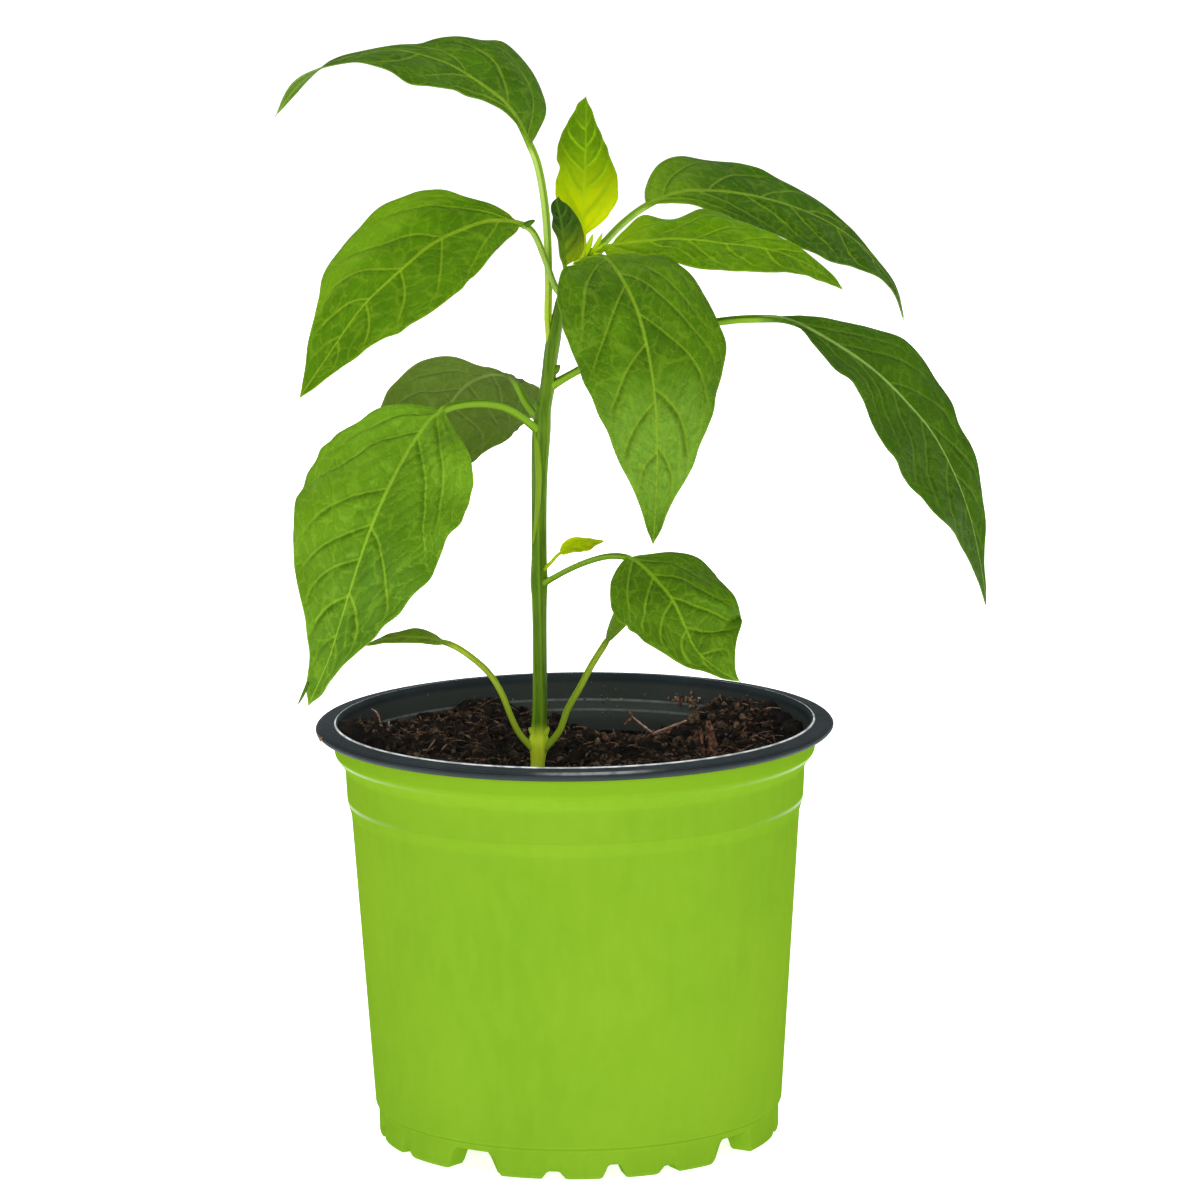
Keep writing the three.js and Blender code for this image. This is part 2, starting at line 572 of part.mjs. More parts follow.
// Direction of the leaf's right side at a share of the blade's length
function acrossAt(leaf, share) {
  const place = Math.max(0, share) * (leaf.across.length - 1);
  const low = Math.min(Math.floor(place), leaf.across.length - 2);
  const [from, to] = [leaf.across[low], leaf.across[low + 1]].map((v) => new THREE.Vector3(...v));
  return from.lerp(to, place - low);
}

// One closed ring round a leaf's stalk or blade. It runs over the upper face from the left margin to the
// right one and back under the lower face, where the midrib stands out.
function leafSection(leaf, centre, tangent, share, rib) {
  const right = acrossAt(leaf, share);
  right.addScaledVector(tangent, -right.dot(tangent)).normalize();
  const up = new THREE.Vector3().crossVectors(right, tangent);
  const [upper, lower] = [[], []];
  for (let step = -SIDE_STEPS; step <= SIDE_STEPS; step += 1) {
    const side = Math.sign(step);
    const widths = side < 0 ? leaf.left : leaf.right;
    const greatest = Math.max(...widths);
    const width = Math.hypot(rib, halfWidth(widths, share));
    const flat = smooth((width - rib) / (2 * rib));
    const onStalk = rib * Math.sin((Math.PI / 2) * (Math.abs(step) / SIDE_STEPS));
    const onBlade = [0, rib, width * HALF_WIDTH_SAMPLE, width][Math.abs(step)];
    const out = mix(onStalk, onBlade, flat);
    const bend = radians(leaf.curl) / greatest;
    const rise = radians(leaf.fold) * flat;
    const slope = rise - bend * out * flat;
    const bent = bend * flat > 0;
    const sideways = bent ? (Math.sin(rise) - Math.sin(slope)) / (bend * flat) : out * Math.cos(rise);
    const lift = bent ? (Math.cos(slope) - Math.cos(rise)) / (bend * flat) : out * Math.sin(rise);
    const phase = leaf.waves * share + side * WAVE_SHIFT;
    const swell = leaf.wave * (out / greatest) ** 2 * Math.sin(2 * Math.PI * phase);
    const normal = up.clone().multiplyScalar(Math.cos(slope)).addScaledVector(right, -side * Math.sin(slope));
    const skin = centre.clone().addScaledVector(right, side * sideways).addScaledVector(up, lift);
    const round = Math.max(STALK_EDGE, Math.sqrt(Math.max(0, rib ** 2 - out ** 2)));
    const above = mix(round, BLADE_THICKNESS / 2, flat) + swell * flat;
    const below = mix(round, Math.max(round, BLADE_THICKNESS / 2), flat) - swell * flat;
    upper.push(skin.clone().addScaledVector(normal, above));
    lower.unshift(skin.clone().addScaledVector(normal, -below));
  }
  return [...upper, ...lower];
}

function leafGeometry(leaf) {
  const curve = new THREE.CatmullRomCurve3(leaf.path.map((point) => new THREE.Vector3(...point)));
  curve.arcLengthDivisions = CURVE_DIVISIONS * (leaf.path.length - 1);
  const lengths = curve.getLengths();
  const whole = lengths.at(-1);
  const stalkLength = lengths[CURVE_DIVISIONS * leaf.bladeFrom];
  const stalkSteps = Math.max(2, Math.round(stalkLength / STALK_STEP));
  const bladeSteps = leaf.stations ?? BLADE_STATIONS;
  const rings = [];
  for (let step = 0; step < stalkSteps; step += 1) {
    const along = (stalkLength * step) / stalkSteps;
    const flare = 1 + ROOT_FLARE * Math.exp(-((along / ROOT_FLARE_LENGTH) ** 2));
    const at = along / whole;
    rings.push(leafSection(leaf, curve.getPointAt(at), curve.getTangentAt(at), 0, leaf.stalk * flare));
  }
  for (let step = 0; step <= bladeSteps; step += 1) {
    const even = step / bladeSteps;
    // Stations stand closer together toward the blade's base and tip
    const share = (even + (1 - Math.cos(Math.PI * even)) / 2) / 2;
    const at = mix(stalkLength / whole, 1, share);
    const rib = mix(leaf.stalk, TIP_RADIUS, share);
    rings.push(leafSection(leaf, curve.getPointAt(at), curve.getTangentAt(at), share, rib));
  }
  return loft(rings, (i) => i >= rings[0].length / 2);
}

// A leaf is cut back from the stem, so that its stalk ends just clear of the stem's skin
function leafPiece(leaf, grownStem) {
  const parts = toSolid(leafGeometry(leaf)).subtract(grownStem).decompose();
  parts.sort((a, b) => b.volume() - a.volume());
  return piece(leaf.name, toGeometry(parts[0]), leaf.colour, 0.45);
}

const plant = new THREE.Group();
plant.add(pot(), soil(), stem());
const grownStem = stemSolid(CLEARANCE);
LEAVES.forEach((leaf) => plant.add(leafPiece(leaf, grownStem)));

export default plant;
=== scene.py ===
# Looks of a young chilli pepper plant in a round plastic nursery pot: fine meshes and materials for the
# pot, the soil, the stem and each leaf, with a pale floor, soft studio light and the camera.
#
# Shapes are worked out in millimetres, +Z up, and turned into metres when their mesh is made. Colours are
# red, green and blue from 0 to 255.

import math

import bpy
import numpy as np
from mathutils import Matrix, Vector, noise


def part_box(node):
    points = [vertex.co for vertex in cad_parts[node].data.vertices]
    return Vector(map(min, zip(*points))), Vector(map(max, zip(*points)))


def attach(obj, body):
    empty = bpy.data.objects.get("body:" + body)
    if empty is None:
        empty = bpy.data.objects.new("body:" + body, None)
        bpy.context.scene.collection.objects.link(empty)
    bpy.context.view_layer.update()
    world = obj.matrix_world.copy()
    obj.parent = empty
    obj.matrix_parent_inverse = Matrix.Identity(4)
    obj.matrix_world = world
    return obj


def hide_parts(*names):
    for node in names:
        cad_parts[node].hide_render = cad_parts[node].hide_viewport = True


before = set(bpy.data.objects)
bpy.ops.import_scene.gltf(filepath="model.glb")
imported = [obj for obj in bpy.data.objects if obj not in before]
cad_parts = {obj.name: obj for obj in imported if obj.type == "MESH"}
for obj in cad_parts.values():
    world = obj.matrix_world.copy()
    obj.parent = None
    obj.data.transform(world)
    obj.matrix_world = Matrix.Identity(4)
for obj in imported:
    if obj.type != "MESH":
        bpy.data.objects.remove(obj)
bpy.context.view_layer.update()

MM = 0.001
POT_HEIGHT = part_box("pot")[1][2] / MM
RIM_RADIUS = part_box("pot")[1][0] / MM

# Pot: radius, height and how far each corner is rounded, from the pad in the middle of the underside
# out under the foot, up the outside and over the rim, and then down the inside to the same pad
WALL = 1
FLOOR = 5.8
FOOT_INNER_RADIUS = 39.6
POT_SEGMENTS = 480
RIM_UNDERSIDE = POT_HEIGHT - 2.3
LIP_RADIUS = 55.2
LIP_TOP = POT_HEIGHT + 0.27
POT_OUTSIDE = [
    (8.5, 0, 0.3), (10, FLOOR, 0.8), (FOOT_INNER_RADIUS, FLOOR, 0.6), (41, 0, 0.4), (46, 0, 0.3),
    (46.5, 0.7, 0.3), (46.6, 6.6, 0.4), (47.3, 7.6, 0.4), (51.8, 76, 0.8), (52.7, 79, 0.8),
    (53.1, 87, 0.9), (55.5, 90.2, 0.9), (55.6, RIM_UNDERSIDE, 0.3), (58.9, RIM_UNDERSIDE, 0.5),
    (RIM_RADIUS, RIM_UNDERSIDE + 1.1, 0.5), (59.2, POT_HEIGHT - 0.25, 0.7),
    (LIP_RADIUS + 0.25, POT_HEIGHT, 0.12), (LIP_RADIUS, LIP_TOP, 0.1),
]
INNER_STEP = (88.8, 91)
POT_INSIDE = [
    (LIP_RADIUS - 0.4, LIP_TOP, 0.2), (54.3, POT_HEIGHT - 0.7, 0.5), (54.1, INNER_STEP[1], 0.3),
    (52.6, INNER_STEP[0], 0.3), (52.1, 87, 0.6), (51.7, 79, 0.7), (50.8, 76, 0.7), (46.3, 7.8, 0.3),
    (45.4, WALL, 0.3), (41.9, WALL, 0.3), (40.3, FLOOR + WALL, 0.3), (9.3, FLOOR + WALL, 0.3),
    (8, WALL, 0.3),
]
# Notches in the foot, with turns in degrees to the right of the front. A wide one has a height and a half
# width in degrees at the top and at the foot. The narrow ones have a share of the way from a wide one to
# the next and a height.
WIDE_NOTCH_TURNS = [-31.5, 50, 142, 235]
WIDE_NOTCH = (5.5, 5.2, 9.2)
NARROW_NOTCHES = [(0.3, 2), (0.51, 3.4), (0.71, 2)]
NARROW_NOTCH_FOOT = 3.7
NARROW_NOTCH_TOP = NARROW_NOTCH_FOOT * 0.4
DRAIN_HOLES = 8
DRAIN_RADIUS = 3.5
DRAIN_RING = 29
# Lines of painted shade round the pot's outside, along the steps of its wall and foot: height, colour
# and how strongly it shows. The first two also catch the light.
POT_STEP_SHADE_LINES = [(79.2, (84, 130, 24), 0.12), (89.7, (90, 140, 24), 0.12), (7.1, (80, 120, 20), 0.45)]
BRIGHT_LINES = 2
# The collar just under the rim, from these heights up, is tinted deeper as painted shade of the rim.
COLLAR_SHADE_START = (89.2, 90.6)

# Soil: middle, rise over the level and reach of each mound, with a negative rise for a hollow
SOIL_LEVEL = POT_HEIGHT - 7.5
SOIL_MOUNDS = [
    (40, 22, 5.5, 15), (12, 43, -11, 17), (-7, -4, -6.5, 14), (-34, 24, 1.6, 14), (30, -30, 1, 15),
    (-49, -2, 6, 13), (-22, 46, 3.6, 8), (-51.5, -7, 3.5, 7), (34, 33, 2.2, 7),
]
SOIL_BOTTOM = FLOOR + WALL + 0.4
SOIL_SIDE_LEVELS = (84, 76, 40, SOIL_BOTTOM + 1)
SOIL_GAP = 0.25
SOIL_SPOKES = 400
SOIL_RINGS = 110
CLOD_HEIGHT = 1.8
CLOD_SCALE = 0.13
PORE_SCALE = 0.36
STEM_CLEARANCE = 3.2
DRY_SIDE_FROM = 22
DRY_TONE_POWER = 1.5
MOIST_TONE_POWER = 2.3
CRUMB_REACH = 51
CHUNK_REACH = 48.5
FIBRE_REACH = 49.5
FIBRE_END_REACH = 51.2
CRUMBS = 2300
CHUNKS = 160
SLIVERS = 460
FIBRES = 1050
CRUMB_SEED = 5
FIBRE_SEED = 9
BARK_SEED = 11
# Crumbs that stick to the pot's inner wall and, the last ones, to its rim: count, middle and spread of
# their turns, draw of their height, how far in from the wall, least and greatest size, and roughness
STUCK_CRUMBS = [
    (34, (1.35, 0.45), ("uniform", 87.5, 95.5), 0.05, (0.15, 0.38), 0.25),
    (34, (1.06, 0.05), ("normal", 91.6, 1), 0.3, (0.2, 0.6), 0.4),
    (7, (-2.9, 0.02), ("uniform", RIM_UNDERSIDE + 0.8, POT_HEIGHT - 0.5), None, (0.25, 0.5), 0.3),
]
# Larger bits on the soil and against the pot's inner wall: half width, flatness, kind and path
BARK = 0
STRAW = 1
BITS = [
    (1.15, 0.45, BARK, [(31.3, -15.4, 89), (31.4, -15.4, 95), (30.4, -15.2, 99.4)]),
    (0.7, 0.5, BARK, [(29.6, -14.8, 91), (28.8, -14.6, 97.6)]),
    (0.36, 0.7, STRAW, [(13.4, 24.5, 92.6), (15.9, 17.5, 91.8), (18.2, 10.5, 91.4)]),
    (0.33, 0.7, STRAW, [(18.2, 10.5, 91.4), (22.4, 12.2, 92.6), (26.1, 14.1, 93.6)]),
    (0.5, 0.6, BARK, [(11.4, 25, 90.5), (13.4, 24.5, 92.6), (12.6, 24.5, 94)]),
    (0.24, 0.6, STRAW, [(-45, 14, 90), (-45.4, 15, 93.6), (-46.3, 16, 96), (-47.5, 17, 96.6)]),
    (0.32, 0.6, STRAW, [(-43, 5, 90), (-43.3, 5, 93), (-43, 5, 96)]),
    (0.26, 0.5, STRAW, [(-34, -2, 90.4), (-32.2, -2, 93)]),
    (0.22, 0.5, STRAW, [(-31, -4, 90.6), (-29.4, -4.6, 92.4)]),
    (0.2, 0.6, STRAW, [(-35.5, -6, 91.2), (-32.6, -7, 91.8)]),
    (0.3, 0.6, STRAW, [(-20, -32, 90), (-17, -31, 92.3), (-13, -32, 91)]),
    (0.4, 0.6, BARK, [(24.6, 46.6, 90.4), (25.4, 47.6, 93)]),
]

# Stem: x, y, z and radius along it, from its end in the soil to the shoot tip
STEM = [
    (-8.8, 0, 62, 1.5), (-8.8, 0, 84, 1.6), (-8.6, 0, 88, 1.7), (-8.4, 0, 91.5, 2.3),
    (-8.3, 0, 94.5, 1.9), (-8, 0, 102, 1.68), (-7.8, 0, 125, 1.68), (-7.8, 0, 129.5, 2),
    (-7.7, 0, 134, 1.75), (-7.4, 0, 153, 1.8), (-6.9, 0, 162, 2.1), (-6.6, 0, 166, 2.05),
    (-6.2, 0, 169.5, 1.7), (-5.2, 0, 175, 1.7), (-4.7, 0, 180, 1.6), (-4, 0, 184.5, 1.7),
    (-3.2, 0.2, 188.5, 1.45), (-2.3, 0.5, 192.6, 1.4), (-1.2, 1, 196, 1.4), (1.7, 2, 200.7, 1.3),
    (4.5, 3, 204.6, 1.25), (5, 3.2, 206.2, 0.6),
]
STEM_SIDES = 48
STEM_STEP = 0.45
STEM_SOFTENING = 24
STEM_RIBS = 5
RIB_HEIGHT = 0.045
RIB_TWIST = 0.012
# Buds, the shoot tip's first leaves, the ear of a leaf and the ridge under one, as foot, point, radius and
# tint, which is 1 for a young yellow one and -1 for a dark one
BUDS = [
    ((-6.9, 0, 168.5), (-8.4, -0.4, 171.2), 0.7, 0),
    ((-4.2, 0, 177.5), (-2.4, -0.6, 179.8), 0.7, 0),
    ((-8.9, 0, 93), (-10.6, -0.6, 95.3), 0.8, 0),
    ((-7.8, 0, 93), (-5.9, -0.6, 95.3), 0.8, 0),
    ((2.8, 2.4, 203.2), (5.4, 1.4, 209.5), 0.62, 1),
    ((4.4, 2.6, 203.6), (7.6, 1.4, 209.7), 0.55, 1),
    ((1.4, 2.2, 201), (3.4, 1.8, 206.6), 1.1, 1),
    ((4.5, 2.4, 203), (8.3, 1.2, 207.4), 0.9, 1),
    ((-10.6, -6.4, 212.2), (-7.6, -6.6, 213.7), 0.6, -1),
    ((-59.6, -36.8, 113.5), (-62, -37, 108.4), 0.35, -1),
    ((-8.1, -0.7, 165), (-9.3, -0.2, 136), 0.62, 0.35),
]

# Leaves. The path runs from the stem's middle along the stalk and the midrib to the tip, and the blade
# begins at its point blade_from. Stalk is the stalk's radius. Left and right are the half widths at even
# steps between the blade's base and its tip, as seen from the stalk with the upper face up, and blunt the
# least ones near the base. Across gives the direction of the right side at even steps. The halves rise
# from the midrib by fold degrees and bend down again by curl degrees. The margin has waves that are wave
# high, and ragged is how uneven it is. The blade swells by quilt between the veins, which leave the midrib
# at the shares in veins_left and veins_right and sweep forward by arch. COMMON is what most leaves share.
COMMON = dict(
    fold=8, curl=20, wave=0.7, waves=3.5, quilt=0.5, blunt=(0, 0), ragged=0.012, stalks="green", look={},
    stations=150,
)
LEAVES = [
    dict(
        name="leaf_centre", stalk=0.8, blade_from=3, tint="deep", blunt=(8, 7.8),
        look=dict(bloom=(31, 50, 56, 74), light=(94, 136, 14)),
        path=[(1.7, 2, 200.7), (3.4, -2.6, 203.8), (5.6, -6.5, 205), (7.7, -10, 205.4), (10.4, -17, 203.5),
            (15.1, -24, 195.3), (18.3, -30, 181.8), (19.3, -34, 167.3), (18.7, -36, 150.9),
            (18.1, -36.5, 143.7)],
        left=(8, 12.6, 14.6, 15.9, 16.7, 17.2, 17.7, 17.7, 17.2, 16.1, 14.2, 13.4, 11.5, 9.5, 8.2, 6.4, 4.3,
            2.7, 1.6),
        right=(9.5, 14, 16.5, 17.2, 17.1, 16.9, 16.7, 16.5, 15.8, 14.8, 13.7, 12.6, 11.2, 10, 8.4, 6.4, 4.6,
            3, 1.7),
        across=[(-0.92, -0.35, -0.1), (-1, 0, 0.1), (-1, 0, 0), (-1, 0, 0)],
        fold=14, curl=40, quilt=0.55,
        veins_left=(0.02, 0.13, 0.28, 0.52, 0.69, 0.83), veins_right=(0.03, 0.18, 0.38, 0.56, 0.71, 0.84),
        arch=(1.45, 1.2),
    ),
    dict(
        name="leaf_lower_left", stalk=0.95, blade_from=4, tint="broad",
        # Its light base, fading out over 42 mm, is painted light on the upper part of the leaf, which faces
        # the light
        look=dict(base=(128, 176, 38), base_reach=42, vein=(166, 208, 56), band=(-4, 12), band_share=0.4,
            bloom=(30, 46, 70, 90), waxy=(88, 130, 34)),
        path=[(-6.7, 0, 164), (-13.9, -4.5, 170.1), (-18.8, -8.5, 172.1), (-24.2, -13, 172.7),
            (-28.4, -16, 172.1), (-32.2, -19, 169.6), (-39.9, -26, 158), (-45.3, -31, 146.8),
            (-51.5, -35, 128.7), (-55, -36.5, 118.1), (-59.7, -37, 108)],
        left=(6.4, 12.3, 16.1, 18.1, 18.8, 19.2, 18.9, 17.6, 17.5, 17.1, 16.4, 14, 12.9, 10.1, 8.5, 6.3,
            3.8, 2.3, 1.8),
        right=(5.9, 12.3, 14.6, 18.4, 19.1, 19.1, 20.1, 20.3, 18.8, 16.8, 16.5, 15.5, 12.9, 10, 8, 6.7, 4.8,
            3.4, 2.3),
        across=[(-0.75, 0.6, 0.25), (-0.83, 0.4, 0.35), (-0.87, 0.28, 0.4), (-0.9, 0.2, 0.3)],
        fold=10, curl=25, wave=0.9, waves=4, quilt=0.9,
        veins_left=(0.02, 0.13, 0.44, 0.64, 0.79), veins_right=(0.01, 0.11, 0.31, 0.43, 0.54, 0.65, 0.77),
        arch=(1.5, 0.85),
    ),
    dict(
        name="leaf_back_left", stalk=0.9, blade_from=2, tint="shaded",
        path=[(-6.6, 0, 166), (-10.3, 4.2, 170.2), (-12.6, 8, 174.2), (-15.2, 13, 175.8),
            (-19.5, 19, 174.8), (-25, 26, 171), (-29.4, 32, 164.5), (-32.4, 36, 156), (-34.3, 38, 147.2)],
        left=(0.6, 1.6, 2.9, 3.4, 5.8, 9.4, 11.4, 12.3, 12.7, 13.1, 13.9, 15.4, 15.7, 15.8, 15.3, 13.7,
            12.7, 10.1, 5.5),
        right=(6, 9.5, 13, 16, 17.6, 18.4, 18.2, 17.5, 17.5, 17.6, 17.3, 17.3, 17, 17, 16, 13.8, 11.9, 10.5,
            6),
        across=[(0.75, 0.5, -0.4), (0.75, 0.38, -0.55), (0.75, 0.35, -0.5), (0.8, 0.3, -0.4)],
        waves=3,
        veins_left=(0.05, 0.25, 0.45, 0.63, 0.79), veins_right=(0.04, 0.22, 0.4, 0.58, 0.75),
        arch=(1.1, 1.1),
    ),
    dict(
        name="leaf_right", stalk=0.95, blade_from=4, tint="dark",
        path=[(-5.2, 0, 174.5), (1.7, -2, 178.6), (15.9, -6, 186.4), (34.9, -10, 190.7),
            (43.5, -11.4, 191.3), (49.5, -12, 190.9), (56.8, -13, 187.4), (64.4, -14, 182.7),
            (70.9, -15, 177.5), (76.5, -16, 171.7), (81.2, -17, 166.1), (85.9, -18, 157.5),
            (89.7, -19, 147.5), (92.5, -20, 134.5), (93.7, -20, 126)],
        left=(1.4, 2.6, 5, 7.6, 10.2, 11.2, 11.5, 11.8, 11.4, 10, 7.9, 7.4, 7.4, 6.3, 5.1, 3.7, 2.3, 1.2,
            0.8),
        right=(1.2, 1.4, 4.8, 7.2, 9.5, 9.3, 9.6, 12.3, 14.6, 16.4, 16.2, 14.6, 14.9, 13.2, 11.2, 7.3, 4.9,
            3.3, 1.5),
        across=[(-0.2, -0.87, -0.45), (-0.5, -0.72, -0.5), (-0.6, -0.7, -0.35), (-0.65, -0.75, -0.06)],
        fold=16, wave=1, waves=4, ragged=0.035,
        veins_left=(0.08, 0.2, 0.36, 0.5, 0.64, 0.78),
        veins_right=(0.12, 0.24, 0.37, 0.49, 0.61, 0.74, 0.85), arch=(1.9, 1.8),
    ),
    dict(
        name="leaf_middle_left", stalk=0.75, stalks="pale", blade_from=4, tint="bright", blunt=(1, 0.8),
        look=dict(band=(6, 10)),
        path=[(-1.2, 0.9, 195.5), (-3, -1.9, 197.3), (-5.2, -3, 203.5), (-8, -5, 210.6),
            (-10.2, -6.6, 212.6), (-17.8, -12, 214.2), (-26.2, -17, 212), (-31.4, -20, 209.5),
            (-39, -24, 203.5), (-46.4, -27, 196.8), (-52, -29, 189.2), (-56.3, -30, 183.1),
            (-60.7, -31, 176.9)],
        left=(3.2, 5.4, 7.4, 9, 10.8, 11.8, 12.5, 13.4, 13.4, 13.3, 12.4, 11.4, 10.8, 8.9, 7.4, 6.3, 4.7, 3,
            1.6),
        right=(1.6, 4, 7.3, 11.4, 13, 14.2, 16, 16.2, 16, 16.4, 15.6, 15, 13.2, 10.1, 8.5, 7, 5.6, 3.6,
            1.7),
        across=[(0.1, 0.7, 0.7), (-0.25, 0.65, 0.72), (-0.58, 0.54, 0.6), (-0.75, 0.5, 0.42)],
        fold=6, wave=0.8, waves=3, quilt=0.45,
        veins_left=(0.1, 0.31, 0.48, 0.64, 0.79), veins_right=(0.04, 0.3, 0.47, 0.62, 0.77), arch=(1, 1.5),
    ),
    dict(
        name="leaf_top_left", stalk=0.9, stalks="pale", blade_from=5, tint="deep",
        look=dict(dark=(56, 92, 6), light=(82, 122, 12), foot=(192, 206), bloom=(56, 62, 70, 76),
            waxy=(170, 190, 140)),
        path=[(-4.2, 0, 183.5), (-5, 0.2, 189.5), (-4.8, 0.2, 198), (-5.2, -1, 214.4), (-6.9, -2, 225.7),
            (-8.4, -3, 229.9), (-12.8, -5, 238.8), (-19.2, -8, 244.6), (-25.6, -10, 248.9),
            (-31.6, -12, 251.4), (-38.5, -13, 252.9), (-46.6, -14, 252), (-54, -15, 249.9),
            (-60.3, -16, 245.8), (-65.5, -17, 238.8)],
        left=(0.6, 1.4, 2, 3, 4.1, 5.9, 6.8, 8.9, 11.4, 13.3, 12.6, 10.6, 8.6, 6, 3.8, 2.8, 2.2, 1.6, 0.8),
        right=(8.6, 12.6, 15.4, 16.8, 15.6, 13.6, 12.4, 9.8, 7.7, 5.4, 3.6, 2.8, 2.8, 3.2, 3.2, 2.6, 2, 1.5,
            0.7),
        across=[(0.6, 0.75, 0.25), (0.48, 0.74, 0.46), (0.1, 0.96, 0.26), (0, 0.99, 0.12),
            (0.8, 0.2, -0.6)],
        fold=6, curl=28, quilt=0.35,
        veins_left=(0.1, 0.3, 0.48, 0.66), veins_right=(0.03, 0.15, 0.32, 0.5, 0.68), arch=(1.3, 1),
    ),
    dict(
        name="leaf_top_right", stalk=0.85, stalks="pale", blade_from=3, tint="deep",
        look=dict(dark=(46, 80, 5), light=(70, 108, 10), base=(126, 168, 18), base_reach=24),
        path=[(4.6, 3, 204.2), (7.2, 5, 206.2), (11.6, 9, 210.3), (17.2, 13, 214.1), (24.6, 17, 216.8),
            (32.5, 21, 216.7), (39.7, 24, 215.6), (49.3, 27, 212.9), (58, 30, 209.1), (65.2, 32, 204.4),
            (70.9, 33, 198.3), (75.6, 34, 192.1), (77.9, 34, 184)],
        left=(5.2, 9.2, 11.7, 12.9, 13.3, 12.7, 11.9, 10.8, 9.5, 8.6, 6.9, 5.4, 4, 3.1, 2.2, 1.9, 1.7, 1.3,
            0.7),
        right=(1.7, 3.6, 4.9, 6.8, 8.9, 10.1, 10.7, 10.5, 11.1, 12.8, 13.9, 13.8, 12.9, 11.1, 8.3, 5.7, 3.6,
            1.8, 0.7),
        across=[(0.2, -0.8, -0.55), (0.1, -0.8, -0.6), (-0.15, -0.88, -0.42), (-0.35, -0.9, -0.15)],
        fold=6, curl=22, quilt=0.45,
        veins_left=(0.06, 0.22, 0.38, 0.54, 0.7), veins_right=(0.04, 0.18, 0.33, 0.48, 0.63, 0.78),
        arch=(1.2, 1.4),
    ),
    dict(
        name="leaf_second_right", stalk=0.75, blade_from=1, tint="fresh", blunt=(0.8, 1.6),
        path=[(3.6, 2.7, 203.4), (7.7, 0.6, 206.1), (10.9, -1, 207.1), (20.9, -3.5, 208.5),
            (28.6, -5.5, 208.6), (35.1, -7.5, 207.9), (42.7, -9.5, 207.2), (49.2, -11, 205.5),
            (55.3, -12, 202.6), (61.8, -13, 197.9)],
        left=(1.6, 6.4, 9.6, 9.9, 10, 10.6, 11.2, 10.8, 11, 10.2, 8.8, 7.1, 5.5, 4.5, 4.2, 3.6, 2.8, 2.2,
            1.6),
        right=(4.4, 5.2, 5.8, 6.8, 7.8, 8.4, 8.7, 8.7, 9, 9.5, 9.9, 9.6, 8.8, 7.9, 7.1, 5.9, 3.5, 2.8, 1.6),
        across=[(0, -0.86, -0.5), (0, -0.86, -0.5), (-0.1, -0.86, -0.48), (-0.3, -0.86, -0.4)],
        waves=4, quilt=0.75,
        veins_left=(0.05, 0.2, 0.36, 0.52, 0.68), veins_right=(0.04, 0.19, 0.34, 0.5, 0.66, 0.8),
        arch=(1.3, 1.4),
    ),
    dict(
        name="leaf_upright_young", stalk=0.6, stalks="yellow", blade_from=1, tint="young", stations=110,
        path=[(3.2, 2.6, 203.4), (3.3, 5.4, 207.6), (3.2, 6, 212.1), (3.7, 9, 221.6), (4.1, 11, 232.2),
            (4.2, 11, 240)],
        left=(0.6, 1.8, 3.6, 5.6, 5.9, 6.5, 6.6, 6.6, 6.2, 5.9, 6.7, 6.6, 6.5, 6, 5.4, 4.5, 3.8, 2.7, 1.9),
        right=(1.3, 3.7, 5.4, 6.3, 7.3, 7.9, 7.8, 7.7, 7.5, 6.9, 6.1, 5.3, 4.9, 4, 3.4, 2.5, 1.9, 1.4, 0.5),
        across=[(1, 0, 0), (1, 0, 0)],
        curl=0, wave=0.35, waves=2.5,
        veins_left=(0.12, 0.3, 0.46, 0.62, 0.76), veins_right=(0.15, 0.34, 0.5, 0.65, 0.79),
        arch=(1.3, 1.1),
    ),
    dict(
        name="leaf_curled_young", stalk=0.55, stalks="yellow", blade_from=1, tint="curled", stations=110,
        ragged=0.02,
        path=[(0.4, 1.5, 198.8), (-1, 0.4, 202), (-1.3, -0.2, 205.5), (-1.5, -1, 210.5),
            (-2.1, -1.5, 214.5), (-2.7, -0.7, 217.2), (-2.3, 1, 218)],
        left=(3.2, 4.4, 4.7, 4.8, 4.5, 4, 3.3, 2.5, 1.5),
        right=(1, 1.3, 1.7, 2.4, 2.9, 3, 2.8, 2.2, 1.4),
        across=[(-0.95, 0.3, 0), (-0.95, 0.3, 0)],
        fold=26, curl=-10, wave=0.4, waves=3,
        veins_left=(0.15, 0.33, 0.5, 0.67), veins_right=(0.12, 0.3, 0.48, 0.65), arch=(1, 1),
    ),
    dict(
        name="leaf_lower_right", stalk=0.75, blade_from=4, tint="broad",
        look=dict(dark=(70, 106, 10), light=(93, 132, 20)),
        path=[(-7.8, 0, 128.5), (-0.9, -5, 133.1), (4.2, -10, 136), (8.3, -14, 137.6), (12.2, -18, 138),
            (15.3, -21, 136.9), (19.5, -25, 133), (22.6, -28, 129.6), (25, -30, 124.7), (27.4, -31, 119.3),
            (32.1, -32, 114.9), (37.7, -32, 111.6)],
        left=(2.2, 5.2, 8.8, 11.9, 13.6, 14.3, 13.9, 12.8, 13, 13.7, 13.8, 13.7, 14, 14.3, 13.6, 12.1, 8.2,
            4.8, 1.6),
        right=(5.5, 8.6, 10.2, 11.5, 12.6, 13, 13, 12.2, 12.3, 11, 10.1, 8.7, 6.9, 5.3, 3.9, 2.5, 1.8, 1.4,
            0.7),
        across=[(-0.75, -0.6, -0.3), (-0.84, -0.4, -0.35), (-0.84, -0.3, -0.45), (-0.6, -0.2, -0.8)],
        curl=30, wave=0.8, waves=3, quilt=0.55,
        veins_left=(0.04, 0.2, 0.38, 0.56, 0.74), veins_right=(0.05, 0.22, 0.4, 0.58, 0.75), arch=(1.2, 1),
    ),
    dict(
